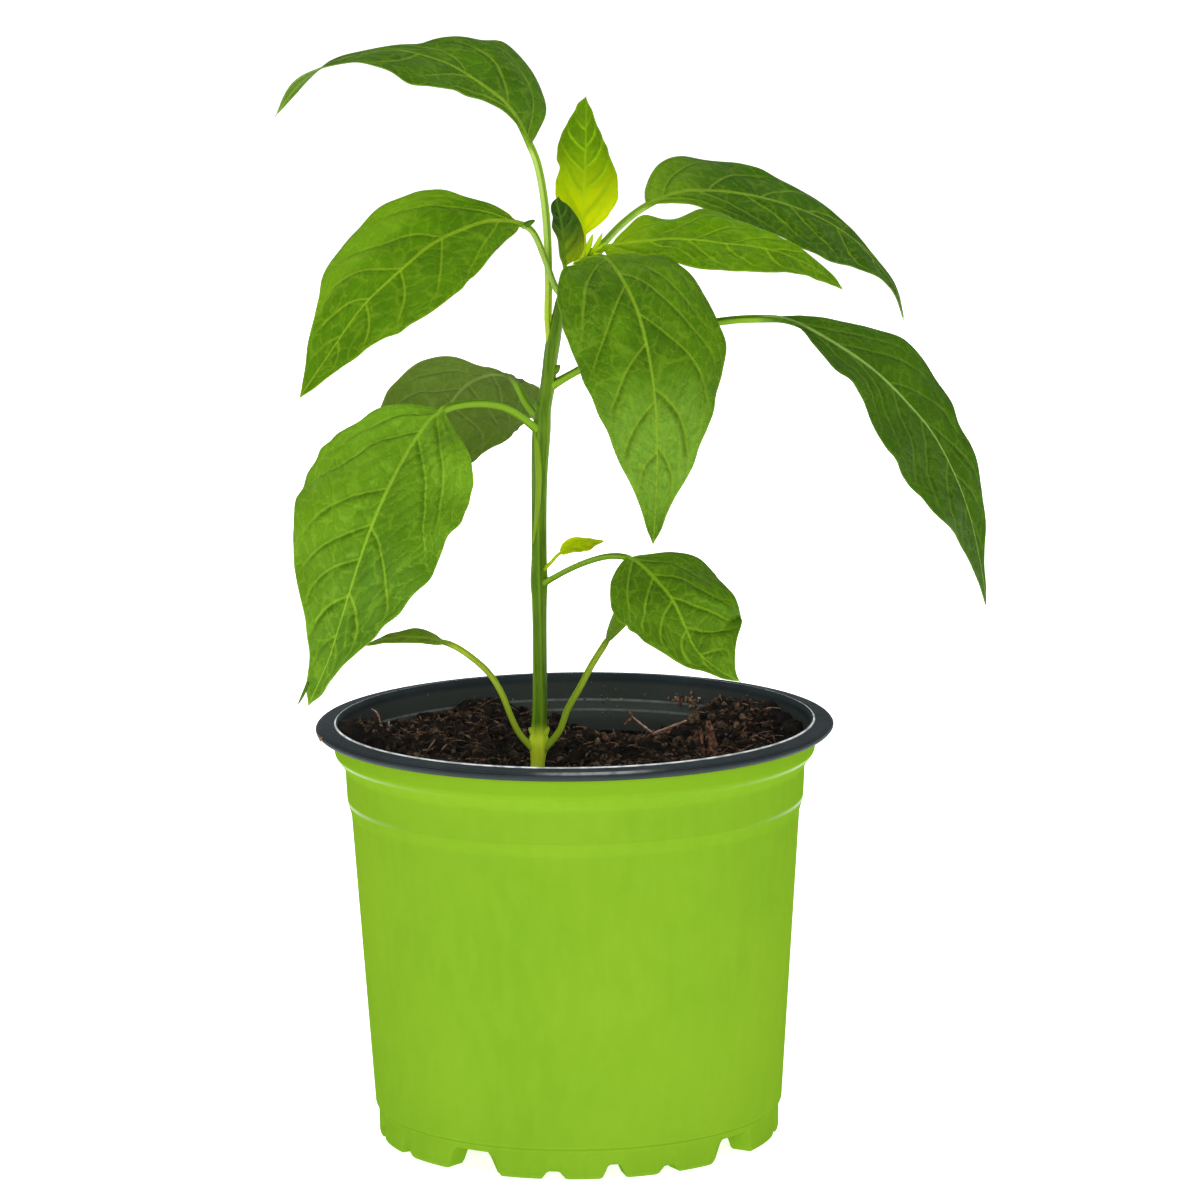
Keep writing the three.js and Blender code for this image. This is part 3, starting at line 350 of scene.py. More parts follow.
        name="leaflet_lower", stalk=0.4, stalks="yellow", blade_from=2, tint="young", stations=60,
        path=[(-7.7, -0.3, 131.2), (-4.9, -2, 134.3), (-3.2, -2.6, 136.2), (0.6, -3.6, 137.8),
            (4, -4.4, 138.8), (7.4, -4.6, 139.5)],
        left=(2.2, 3, 3.2, 3, 2.5, 2, 1.7, 1.1, 0.6),
        right=(1, 1.3, 1.4, 1.7, 2.2, 2.3, 2.4, 1.2, 0.6),
        across=[(0, -0.8, -0.55), (0, -0.8, -0.55)],
        curl=0, wave=0, waves=1, quilt=0.12,
        veins_left=(0.2, 0.45, 0.7), veins_right=(0.25, 0.5, 0.72), arch=(1.3, 1.3),
    ),
    dict(
        name="seed_leaf_left", stalk=0.75, stalks="yellow", blade_from=6, tint="seed", stations=90,
        look=dict(foot=(94, 112)),
        path=[(-8.5, 0, 89), (-12.6, -2.6, 94.1), (-14.8, -5.6, 99.6), (-16.3, -7.8, 104.2),
            (-19.2, -10, 109.8), (-23.9, -13, 114.8), (-28.1, -15, 117.8), (-34.6, -18, 119.9),
            (-41.6, -20, 120.1), (-47.3, -21, 118.7)],
        left=(1.1, 1.7, 2, 2, 2.1, 2, 1.8, 1.2, 0.8),
        right=(1, 2.2, 3.2, 3.6, 3, 2.3, 2.1, 1.3, 0.8),
        across=[(0.1, 0.9, 0.4), (0, 0.9, 0.4)],
        fold=4, curl=10, wave=0, waves=1, quilt=0.15,
        veins_left=(0.2, 0.5), veins_right=(0.25, 0.55), arch=(1.4, 1.4),
    ),
    dict(
        name="seed_leaf_right", stalk=0.8, stalks="yellow", blade_from=5, tint="seed", stations=90,
        look=dict(foot=(94, 112), dark=(122, 160, 4), light=(150, 186, 8), pale=0.05, through=0.5,
            glow=(172, 216, 24)),
        path=[(-8.3, 0, 89), (-3.6, -2, 94.5), (-1.7, -3, 99.8), (1.4, -5, 105.6), (3.9, -6, 110.6),
            (7, -7, 115.7), (11.2, -9, 123), (15.3, -10, 128), (18.8, -10.5, 131)],
        left=(1.6, 3, 4.1, 4.8, 5, 4.6, 3.8, 2.7, 1.5),
        right=(1.4, 2.6, 3.5, 4.1, 4.2, 3.9, 3.2, 2.3, 1.2),
        across=[(0.3, -0.9, -0.2), (0.3, -0.9, -0.2)],
        fold=4, curl=10, wave=0, waves=1, quilt=0.15,
        veins_left=(0.2, 0.5), veins_right=(0.25, 0.55), arch=(1.4, 1.4),
    ),
]
BLADE_THICKNESS = 0.32
MARGIN_THICKNESS = 0.16
TIP_RADIUS = 0.07
ROOT_FLARE = 0.35
ROOT_FLARE_LENGTH = 3
SIDE_STEPS = 25
STALK_STEP = 0.8
WAVE_SHIFT = 0.2
PATH_SAMPLES = 40
PATH_SOFTENING = 14
TANGENT_SOFTENING = 10
ACROSS_SOFTENING = 8
FIRST_LEAF_SEED = 40

# Colours of each kind of leaf: the blade's dark and light green, the veins, the light that comes through,
# with its share, and the blade's base, which fades into the rest over base_reach. Rib is a midrib colour
# of its own, partly a painted highlight, show how strongly the side veins show, and pale how far the lower
# face turns to UNDERSIDE. A leaf's look can also have foot, the levels between which its stalk's pale foot
# fades out, bloom, where along the blade a painted sheen starts, is full, fades and ends, with
# its colour waxy, and band, how far out the blade turns lighter as painted light,
# with its share band_share.
TINTS = {
    "deep": dict(
        dark=(54, 90, 7), light=(84, 124, 13), vein=(144, 178, 42), glow=(120, 180, 6), through=0.3,
        base=(104, 150, 14), base_reach=7,
    ),
    "dark": dict(
        dark=(50, 84, 8), light=(70, 108, 12), vein=(112, 152, 40), glow=(110, 165, 8), through=0.28,
        # The whitish rib is partly the midrib's own colour and partly a painted highlight
        base=(84, 128, 14), base_reach=7, show=0.45, rib=(164, 202, 96),
    ),
    "broad": dict(
        dark=(72, 114, 9), light=(98, 142, 21), vein=(150, 194, 40), glow=(130, 190, 8), through=0.32,
        base=(112, 162, 20), base_reach=6,
    ),
    "bright": dict(
        dark=(70, 110, 7), light=(98, 136, 14), vein=(168, 200, 46), glow=(150, 200, 8), through=0.4,
        base=(110, 152, 14), base_reach=8,
    ),
    "fresh": dict(
        dark=(72, 110, 6), light=(106, 147, 13), vein=(168, 202, 36), glow=(165, 208, 6), through=0.42,
        base=(166, 198, 8), base_reach=16,
    ),
    "shaded": dict(
        dark=(78, 104, 21), light=(102, 128, 32), vein=(146, 166, 80), glow=(120, 160, 20), through=0.32,
        base=(72, 96, 18), base_reach=5, pale=0.2, show=0.35,
    ),
    "young": dict(
        dark=(76, 114, 5), light=(112, 148, 8), vein=(170, 204, 24), glow=(150, 188, 4), through=0.58,
        base=(242, 246, 4), base_reach=25, pale=0.05, show=0.85,
    ),
    "curled": dict(
        dark=(24, 54, 12), light=(54, 90, 20), vein=(92, 130, 36), glow=(90, 140, 6), through=0.32,
        base=(192, 214, 12), base_reach=11, pale=0.1,
    ),
    "seed": dict(
        dark=(84, 114, 14), light=(112, 142, 26), vein=(136, 164, 46), glow=(130, 176, 12), through=0.3,
        base=(130, 170, 30), base_reach=8, pale=0.15,
    ),
}
UNDERSIDE = (140, 160, 110)
STALKS = {
    "green": ((98, 138, 22), (144, 186, 48)),
    "pale": ((134, 174, 46), (190, 220, 104)),
    "yellow": ((160, 190, 26), (206, 224, 80)),
}

# Light: the white studio is dimmer above and in front, where a softbox stands, in metres and watts
WORLD_SIDES = 0.9
WORLD_BACK = 0.3
WORLD_ABOVE = 0.8
WORLD_FRONT = 0.15
FLOOR_GLOW = 0.8
FLOOR_RADIUS = 9000
FLOOR_LEVELS = (-20, -0.05)
LAMPS = [
    dict(name="key", place=(0, -1.5, 0.4), target=(0, 0, 0.14), width=1.6, height=0.65, watts=14.5),
    dict(name="top", place=(-0.35, 0.1, 1.6), target=(0, 0, 0.2), width=0.8, height=0.8, watts=9,
         glossy=False),
    dict(name="back", place=(0.2, 1.3, 0.75), target=(0, 0, 0.2), width=1.2, height=0.5, watts=13,
         glossy=False),
]

# Camera: where it stands, how far it looks down and leans, and its focal length in pixels of a frame
# that is 1200 pixels wide
CAMERA_PLACE = (6.16, -1400, 379.1)
CAMERA_PITCH = 10.29
CAMERA_ROLL = -0.6
CAMERA_FOCAL = 6186
FRAME_WIDTH = 1200
SENSOR_WIDTH = 36
CAMERA_REACH_IN_METRES = 50


def smooth(value):
    value = np.clip(value, 0, 1)
    return value * value * (3 - 2 * value)


def bell(distance):
    return np.exp(-distance ** 2)


def mix(a, b, share):
    return a + (b - a) * share


def unit(vectors):
    return vectors / np.linalg.norm(vectors, axis=-1, keepdims=True)


def even_turns(count):
    return np.linspace(0, 2 * np.pi, count, endpoint=False)


def circle(radius, turns, level=0.0):
    """Points at a radius, turns in radians and a level, with x, y and z on the last axis."""
    return np.stack(np.broadcast_arrays(radius * np.cos(turns), radius * np.sin(turns), level), -1)


def lengths(line):
    """How far along a line each of its points is."""
    return np.concatenate([[0], np.cumsum(np.linalg.norm(np.diff(line, axis=0), axis=1))])


def read_at(spots, places, rows):
    """Rows of numbers that belong to rising places, read between them at spots."""
    return np.stack([np.interp(spots, places, column) for column in np.asarray(rows).T], 1)


def hermite(p1, p2, start, end, t):
    """The cubic from p1 to p2 with the slopes start and end, at t from 0 to 1."""
    cube = 2 * (p1 - p2) + start + end
    square = p2 - p1 - start - cube
    return ((cube * t + square) * t + start) * t + p1


def catmull_rom(points, samples):
    """Points on the centripetal Catmull-Rom curve through the points, with samples steps a span."""
    points = np.asarray(points, float)
    whole = np.vstack([2 * points[0] - points[1], points, 2 * points[-1] - points[-2]])
    steps = np.linspace(0, 1, samples, endpoint=False)[:, None]
    line = []
    for p0, p1, p2, p3 in zip(whole, whole[1:], whole[2:], whole[3:]):
        d0, d1, d2 = (np.sqrt(np.linalg.norm(b - a)) for a, b in ((p0, p1), (p1, p2), (p2, p3)))
        start = ((p1 - p0) / d0 - (p2 - p0) / (d0 + d1) + (p2 - p1) / d1) * d1
        end = ((p2 - p1) / d1 - (p3 - p1) / (d1 + d2) + (p3 - p2) / d2) * d1
        line.append(hermite(p1, p2, start, end, steps))
    return np.vstack([*line, points[-1:]])


def spline(values, share):
    """The uniform Catmull-Rom line through evenly spaced values, at each share of its length."""
    values = np.asarray(values, float)
    place = np.clip(share, 0, 1) * (len(values) - 1)
    low = np.minimum(place.astype(int), len(values) - 2)
    p0, p1 = values[np.maximum(low - 1, 0)], values[low]
    p2, p3 = values[low + 1], values[np.minimum(low + 2, len(values) - 1)]
    return hermite(p1, p2, (p2 - p0) / 2, (p3 - p1) / 2, place - low)


def softened(rows, reach):
    """Rows of numbers smoothed over reach rows to each side, with both ends kept."""
    rows = np.asarray(rows, float)
    before = 2 * rows[0] - rows[reach:0:-1]
    after = 2 * rows[-1] - rows[-2:-reach - 2:-1]
    weights = np.exp(-0.5 * np.linspace(-2.2, 2.2, 2 * reach + 1) ** 2)
    weights /= weights.sum()
    wide = np.vstack([before, rows, after])
    return np.stack([np.convolve(column, weights, mode="valid") for column in wide.T], 1)


def ripples(x, y, longest, random, count=7):
    """A smooth random field over x and y, about from -1 to 1, with waves of longest and shorter."""
    field = np.zeros(np.broadcast(x, y).shape)
    for _ in range(count):
        turn, phase = random.uniform(0, 2 * np.pi, 2)
        size = 2 * np.pi / (longest * random.uniform(0.45, 1))
        field += np.sin(size * (x * np.cos(turn) + y * np.sin(turn)) + phase)
    return field / math.sqrt(count)


# Meshes

def ring_faces(rings, count):
    """Quads between a row of closed rings of equally many points, as a list for each ring and spot."""
    ring, spot = np.meshgrid(np.arange(rings - 1), np.arange(count), indexing="ij")
    a = ring * count + spot
    b = ring * count + (spot + 1) % count
    return np.stack([a, b, b + count, a + count], -1).reshape(-1, 4)


def turned_out(points, faces):
    """The faces, turned round where the closed mesh would otherwise be inside out."""
    a, b, c, d = (points[[face[i] for face in faces]] for i in (0, 1, 2, -1))
    volume = (a * np.cross(b, c)).sum() + (a * np.cross(c, d)).sum()
    return [face[::-1] for face in faces] if volume < 0 else faces


def lofted(rings):
    """Points and faces of the closed body through a row of rings, each ended by a fan."""
    rings = np.asarray(rings)
    count = rings.shape[1]
    points = np.concatenate([rings.reshape(-1, 3), rings[[0, -1]].mean(axis=1)])
    faces = ring_faces(len(rings), count).tolist()
    last = (len(rings) - 1) * count
    middle = len(points) - 2
    for spot in range(count):
        after = (spot + 1) % count
        faces.append([middle, after, spot])
        faces.append([middle + 1, last + spot, last + after])
    return points, turned_out(points, faces)


def joined(bodies):
    """One list of points and one of faces from several bodies."""
    faces, start = [], 0
    for body_points, body_faces in bodies:
        faces += [[start + i for i in face] for face in body_faces]
        start += len(body_points)
    return np.concatenate([points for points, _ in bodies]), faces


def around(line, side, back, reach, count):
    """A ring of count points round each point of a line, in the plane of side and back."""
    turn = even_turns(count)[:, None]
    return line[:, None] + reach[..., None] * (np.cos(turn) * side[:, None] + np.sin(turn) * back[:, None])


def tube(path, radii, sides):
    """A closed tube along a path, with one radius or a radius for each point."""
    tangent = unit(np.gradient(path, axis=0))
    side = unit(np.cross(tangent, (0.13, 0.31, 0.94)))
    reach = np.broadcast_to(radii, len(path))[:, None]
    return lofted(around(path, side, np.cross(tangent, side), reach, sides))


def mesh_object(name, points, faces, materials, indices=None):
    """A smooth object in metres from points in millimetres, with the material indices of its faces."""
    mesh = bpy.data.meshes.new(name)
    mesh.from_pydata((points * MM).tolist(), [], [list(map(int, face)) for face in faces])
    for material in materials:
        mesh.materials.append(material)
    mesh.polygons.foreach_set("use_smooth", np.ones(len(mesh.polygons), bool))
    if indices is not None:
        mesh.polygons.foreach_set("material_index", np.asarray(indices, np.int32))
    mesh.update()
    made = bpy.data.objects.new(name, mesh)
    bpy.context.collection.objects.link(made)
    return made


def keep(piece, name, values, domain="POINT"):
    """Keeps a number or a vector for each point or corner of a piece."""
    values = np.asarray(values, np.float32)
    kind, field = ("FLOAT", "value") if values.ndim == 1 else ("FLOAT_VECTOR", "vector")
    piece.data.attributes.new(name, kind, domain).data.foreach_set(field, values.ravel())


# Materials

class Wire:
    """The output of a node. Sums, products and the like of wires are outputs of nodes too."""

    def __init__(self, socket):
        self.socket = socket
        self.tree = socket.id_data

    def __add__(self, other):
        return calculated("ADD", self, other)

    def __sub__(self, other):
        return calculated("SUBTRACT", self, other)

    def __rsub__(self, other):
        return calculated("SUBTRACT", other, self)

    def __mul__(self, other):
        return calculated("MULTIPLY", self, other)

    def __truediv__(self, other):
        return calculated("DIVIDE", self, other)

    def __abs__(self):
        return calculated("ABSOLUTE", self)


def linear(colour):
    """A colour as Blender's linear red, green, blue and alpha."""
    share = np.array(colour) / 255
    value = np.where(share <= 0.04045, share / 12.92, ((share + 0.055) / 1.055) ** 2.4)
    return (*map(float, value), 1.0)


def put(socket, value):
    """Links a wire to an input, or sets the input to a number or a colour."""
    if isinstance(value, Wire):
        value.tree.links.new(value.socket, socket)
    elif value is not None:
        socket.default_value = linear(value) if socket.type == "RGBA" else value


def node(tree, kind, *inputs, output=0, **named):
    """The output of a new node. Named values are inputs where they start with a capital, with _ for a
    space, and settings of the node where they don't."""
    made = tree.nodes.new("ShaderNode" + kind)
    for name, value in named.items():
        if name[0].islower():
            setattr(made, name, value)
    for socket, value in zip(made.inputs, inputs):
        put(socket, value)
    for name, value in named.items():
        if name[0].isupper():
            put(made.inputs[name.replace("_", " ")], value)
    return Wire(made.outputs[output])


def calculated(operation, *values):
    tree = next(value.tree for value in values if isinstance(value, Wire))
    return node(tree, "Math", *values, operation=operation)


def ranged(value, low, high, to_low=0, to_high=1):
    """The value mapped smoothly from low and high to to_low and to_high, and held beyond them."""
    return node(value.tree, "MapRange", value, low, high, to_low, to_high, interpolation_type="SMOOTHSTEP")


def mixed(share, a, b):
    """Colour a turned into colour b by a share."""
    unused = [None] * 5
    return node(share.tree, "Mix", share, *unused, a, b, output=2, data_type="RGBA")


def painted(colour, *coats):
    """The colour with coats of others over it, each as its share and its colour."""
    for share, shade in coats:
        colour = mixed(share, colour, shade)
    return colour


def split(vector):
    made = vector.tree.nodes.new("ShaderNodeSeparateXYZ")
    put(made.inputs[0], vector)
    return [Wire(output) for output in made.outputs]


def stretched(vector, scale):
    return node(vector.tree, "VectorMath", vector, scale, operation="MULTIPLY")


def place_in_mm(tree):
    return stretched(node(tree, "TexCoord", output="Object"), (1 / MM, 1 / MM, 1 / MM))


def noise_of(vector, scale, detail, rough=0.55):
    settings = dict(Scale=scale, Detail=detail, Roughness=rough)
    return node(vector.tree, "TexNoise", vector, **settings, output="Fac")


def cells_of(vector):
    """How far away the edge of a cell is, for cells about one wide."""
    return node(vector.tree, "TexVoronoi", vector, Scale=1, feature="DISTANCE_TO_EDGE", output="Distance")


def bumped(height, distance):
    """The normal of a surface with that height in millimetres times distance."""
    return node(height.tree, "Bump", Strength=1, Distance=distance * MM, Height=height)


def new_material(name):
    material = bpy.data.materials.new(name)
    material.use_nodes = True
    material.node_tree.nodes.clear()
    return material, material.node_tree


def finished(material, shader):
    out = material.node_tree.nodes.new("ShaderNodeOutputMaterial")
    put(out.inputs["Surface"], shader)
    return material


def surfaced(material, **settings):
    return finished(material, node(material.node_tree, "BsdfPrincipled", **settings))


# Pot

def rounded(profile, steps=4):
    """The line through (radius, height, cut) points, with its corners rounded off."""
    spots = np.array([point[:2] for point in profile], float)
    line = [spots[0]]
    for before, spot, after, (_, _, cut) in zip(spots, spots[1:], spots[2:], profile[1:-1]):
        start = spot + unit(before - spot) * cut
        end = spot + unit(after - spot) * cut
        for share in np.linspace(0, 1, steps + 1):
            line.append((1 - share) ** 2 * start + 2 * share * (1 - share) * spot + share ** 2 * end)
    line.append(spots[-1])
    return np.array(line)


def foot_lift(turns):
    """Height of the foot's edge over the ground at turns in degrees to the right of the front."""
    lift = np.zeros_like(turns)
    wide_turns = [*WIDE_NOTCH_TURNS, WIDE_NOTCH_TURNS[0] + 360]
    for turn, after in zip(wide_turns, wide_turns[1:]):
        notches = [(turn, *WIDE_NOTCH)]
        for share, height in NARROW_NOTCHES:
            notches.append((mix(turn, after, share), height, NARROW_NOTCH_TOP, NARROW_NOTCH_FOOT))
        for middle, height, top, foot in notches:
            away = np.abs((turns - middle + 180) % 360 - 180)
            slope = np.clip((foot - away) / (foot - top), 0, 1)
            lift = np.maximum(lift, height * mix(slope, smooth(slope), 0.6))
    return lift


def pot_material():
    """Lime plastic with faint clouds and grain, a collar tinted deeper as painted shade of the rim, darker
    lines of painted shade along the steps, and coated lines at two steps that catch the light.
    """
    material, tree = new_material("pot_plastic_lime")
    place = place_in_mm(tree)
    height = split(place)[2]
    cloud = noise_of(place, 0.02, 3)
    grain = noise_of(stretched(place, (1, 1, 0.35)), 0.35, 4)
    from_lines = [abs(height - level) for level, _, _ in POT_STEP_SHADE_LINES]
    # Painted shade: darker lines along the steps of the wall and the foot
    lines = [
        (ranged(away, 0.05, 0.35, share, 0), shade)
        for away, (_, shade, share) in zip(from_lines, POT_STEP_SHADE_LINES)
    ]
    colour = painted(
        mixed(ranged(cloud, 0.35, 0.65), (113, 155, 33), (120, 160, 35)),
        (ranged(grain, 0.3, 0.75, 0, 0.25), (132, 167, 45)),
        # painted shade of the rim on the collar
        (ranged(height, *COLLAR_SHADE_START, 0, 0.6), (116, 158, 29)),
        *lines,
    )
    first, second = (ranged(away, 0.25, 0.6, 0.9, 0) for away in from_lines[:BRIGHT_LINES])
    gloss = (first + second) * ranged(node(tree, "LayerWeight", output="Facing"), 0.3, 0.85)
    return surfaced(
        material, Base_Color=colour, Specular_IOR_Level=0.0, Coat_Weight=gloss, Coat_Roughness=0.35,
        Roughness=ranged(noise_of(place, 1.6, 5, 0.7), 0.3, 0.75, 0.36, 0.5),
        Normal=bumped(cloud * 3 + noise_of(place, 6, 2) * 0.15, 0.25),
    )


def charcoal_material():
    """Charcoal plastic with patches of dust and painted highlights, dimmed in places: a pale line on the
    lip's outer flank, a pale patch in front on the rim's outer corner and pale lines on the steps inside."""
    material, tree = new_material("pot_plastic_charcoal")
    place = place_in_mm(tree)
    x, y, height = split(place)
    reach = node(tree, "VectorMath", stretched(place, (1, 1, 0)), operation="LENGTH", output="Value")
    dust = noise_of(place, 1.4, 6, 0.7)
    # Noise that dims the painted highlights below in places
    highlight_breakup = ranged(noise_of(place, 0.3, 3), 0.35, 0.6, 0.5, 1)
    # Painted highlight: a pale line on the lip's outer flank, all round
    lip = ranged(height, POT_HEIGHT, POT_HEIGHT + 0.06) * ranged(reach, LIP_RADIUS - 0.15, LIP_RADIUS - 0.1)
    # Painted highlight of the key lamp on the rim's outer corner, only in front
    corner = ranged(height, 96.1, 96.5) * ranged(reach, 58.3, 58.9, 0, 0.3)
    corner = corner * (ranged(abs(x - 5), 4, 17, 1, 0) * ranged(y, 0, -20))
    # Painted highlights: pale lines on the two steps inside
    lower, upper = (
        ranged(abs(height - level), 0.1, 0.4, share, 0) for level, share in zip(INNER_STEP, (0.3, 0.42))
    )
    step = calculated("MAXIMUM", upper, lower) * ranged(reach, 54.8, 54.5)
    colour = painted(
        mixed(ranged(noise_of(place, 0.06, 4), 0.3, 0.7), (37, 44, 47), (46, 53, 56)),
        (ranged(dust, 0.66, 0.76, 0, 0.5), (104, 96, 84)),
        (ranged(height, 96, 94.5, 0, 0.65), (68, 72, 68)),
        # painted highlights on the lip, the rim's corner and the steps inside
        (calculated("MAXIMUM", lip, corner) * highlight_breakup, (232, 238, 240)),
        (step * highlight_breakup, (150, 156, 154)),
    )
    return surfaced(
        material, Base_Color=colour, Specular_IOR_Level=0.05,
        Roughness=ranged(dust, 0.3, 0.7, 0.42, 0.55), Normal=bumped(noise_of(place, 0.9, 4), 0.12),
    )


def build_pot():
    turns = np.linspace(0, 360, POT_SEGMENTS, endpoint=False)
    lift = foot_lift(turns)
    loop = rounded(POT_OUTSIDE + POT_INSIDE)
    # The inside starts past the highest and, of those, the outermost point
    crest = int(np.argmax(loop[:, 1] + 1e-3 * loop[:, 0]))
    skins = []
    for index, (radius, height) in enumerate(loop):
        skin = 0 if index <= crest else WALL
        level = np.maximum(height, lift + skin) if radius > FOOT_INNER_RADIUS else height
        # Turned to start at the front
        skins.append(circle(radius, np.radians(turns), level)[:, [1, 0, 2]] * (1, -1, 1))
    points, faces = lofted(skins)
    centres = np.array([points[face].mean(axis=0) for face in faces])
    reach, height = np.hypot(centres[:, 0], centres[:, 1]), centres[:, 2]
    outside = rounded(POT_OUTSIDE)[4:]
    wall = np.interp(height, outside[:, 1], outside[:, 0])
    inner = (reach < wall - 0.55 * WALL) & (height > FLOOR + 0.6)
    rim = height > RIM_UNDERSIDE - 0.05
    pot = mesh_object("pot_fine", points, faces, [pot_material(), charcoal_material()], inner | rim)
    drill(pot)
    return pot


def drill(pot):
    """Cuts the drain holes through the pot's floor."""
    bodies = []
    turn = even_turns(32)
    for index in range(DRAIN_HOLES):
        angle = index / DRAIN_HOLES * 2 * math.pi
        x = DRAIN_RING * math.cos(angle) + DRAIN_RADIUS * np.cos(turn)
        y = DRAIN_RING * math.sin(angle) + DRAIN_RADIUS * np.sin(turn)
        rings = [np.stack([x, y, np.full_like(x, FLOOR + WALL / 2 + step * WALL)], -1) for step in (-2, 2)]
        bodies.append(lofted(rings))
    cutter = mesh_object("cutter", *joined(bodies), [])
    cut = pot.modifiers.new("drain", "BOOLEAN")
    cut.operation = "DIFFERENCE"
    cut.solver = "EXACT"
    cut.object = cutter
    graph = bpy.context.evaluated_depsgraph_get()
    drilled = bpy.data.meshes.new_from_object(pot.evaluated_get(graph))
    pot.modifiers.remove(cut)
    pot.data = drilled
    bpy.data.objects.remove(cutter)


# Soil

def soil_height(x, y):
    height = np.full(np.broadcast(x, y).shape, float(SOIL_LEVEL))
    for mound_x, mound_y, rise, reach in SOIL_MOUNDS:
        height += rise * np.exp(-((x - mound_x) ** 2 + (y - mound_y) ** 2) / reach ** 2)
    return height


def inside_radius(height):
    line = rounded(POT_INSIDE)[::-1]
    upper = line[:, 1] > FLOOR + 2
    return np.interp(height, line[upper, 1], line[upper, 0])


def rough_soil(x, y):
    """Height of the clods and pores over the smooth soil."""
    clods = np.array([
        noise.fractal(Vector((a * CLOD_SCALE, b * CLOD_SCALE, 2.1)), 1.0, 2.0, 5)
        + 0.7 * noise.turbulence(Vector((a * PORE_SCALE, b * PORE_SCALE, 7.7)), 3, False)
        for a, b in zip(x.ravel(), y.ravel())
    ]).reshape(x.shape)
    return CLOD_HEIGHT * clods


def soil_material(name, dark, light, scale, speck, toned=True):
    material, tree = new_material(name)
    place = place_in_mm(tree)
    share = ranged(noise_of(place, scale, 5, 0.65), 0.35, 0.7)
    if toned:
        share = share * node(tree, "Attribute", attribute_name="tone", output="Fac")
    specks = noise_of(place, scale * 6, 3, 0.7)
    return surfaced(
        material, Roughness=0.92, Specular_IOR_Level=0.25,
        Base_Color=painted(mixed(share, dark, light), (ranged(specks, 0.62, 0.75, 0, 0.5), speck)),
        Normal=bumped(noise_of(place, 2.2, 6, 0.7), 0.5),
    )


def build_soil():
    """The soil's rough top, its side and its flat bottom as one body."""
    turns = even_turns(SOIL_SPOKES)
    shares = np.linspace(0, 1, SOIL_RINGS + 1)[1:, None]
    radius = inside_radius(SOIL_LEVEL) - SOIL_GAP
    x, y = radius * shares * np.cos(turns), radius * shares * np.sin(turns)
    z = soil_height(x, y) + rough_soil(x, y)
    edge = circle(inside_radius(z[-1]) - SOIL_GAP, turns, z[-1])
    rings = [*np.stack([x, y, z], -1)[:-1], edge]
    for level in SOIL_SIDE_LEVELS:
        rings.append(circle(inside_radius(level) - SOIL_GAP, turns, level))
    rings.append(circle(inside_radius(SOIL_BOTTOM + 1) - 1, turns, SOIL_BOTTOM))
    peat = soil_material("soil_peat", (8, 6, 4), (34, 26, 19), 0.35, (92, 70, 54), False)
    return mesh_object("soil_fine", *lofted(rings), [peat])


def soil_spots(count, random, reach):
    """Random places on the soil, clear of the stem."""
    turn = random.uniform(0, 2 * np.pi, 2 * count)
    away = reach * np.sqrt(random.uniform(0, 1, 2 * count))
    x, y = away * np.cos(turn), away * np.sin(turn)
    clear = np.hypot(x - STEM[0][0], y - STEM[0][1]) > STEM_CLEARANCE
    x, y = x[clear][:count], y[clear][:count]
    return np.column_stack([x, y, soil_height(x, y) + rough_soil(x, y)])


def rough_ball(spot, size, rough, random):
    """A rough closed ball at a spot, with a squash and a turn of its own."""
    count, rows = 7, 4
    latitude = (np.linspace(-1, 1, rows + 2)[1:-1] * np.pi / 2 * 0.82)[:, None]
    squash = random.uniform(0.55, 1.2, 3) * size
    turn = even_turns(count) + 2.4 * random.random()
    ball = circle(np.cos(latitude), turn, np.sin(latitude))
    ball = ball * random.uniform(1 - rough, 1 + rough, (rows, count, 1))
    spin = np.array(Matrix.Rotation(random.uniform(0, 3), 3, Vector(random.normal(size=3)).normalized()))
    return lofted((ball * squash) @ spin.T + spot)


def flat_strip(path, half, flat, random):
    """A rough strip along a path, as wide as twice half and flatter the other way."""
    sides = 7
    rings = tube(path, 1, sides)[0][:-2].reshape(len(path), sides, 3)
    away = rings - path[:, None]
    across = unit(np.cross(path[-1] - path[0], random.normal(size=3)))
    wide = (away @ across)[..., None] * across
    taper = 1 - 0.45 * np.abs(np.linspace(-1, 1, len(path))) ** 3
    rough = random.uniform(0.75, 1.2, (len(path), 1, 1)) * taper[:, None, None]
    return lofted(path[:, None] + half * rough * (wide + (away - wide) * flat))


def toned_object(name, bodies, materials, random, kinds=0, light=0, least=0.3):
    """One object of many bodies, each with a kind, which is the number of its material, and with a tone
    from 0, dark, to 1, light. The last ones are light, and those on the dry side lighter than others."""
    counts = [len(faces) for _, faces in bodies]
    kinds = np.repeat(np.broadcast_to(kinds, len(bodies)), counts)
    made = mesh_object(name, *joined(bodies), materials, kinds)
    dry = [np.mean(points[:, 0]) > DRY_SIDE_FROM for points, _ in bodies]
    shades = random.random(len(bodies)) ** np.where(dry, DRY_TONE_POWER, MOIST_TONE_POWER)
    shades[len(bodies) - light:] = random.uniform(least, 1, light)
    keep(made, "tone", np.repeat(shades, [len(points) for points, _ in bodies]))
    return made


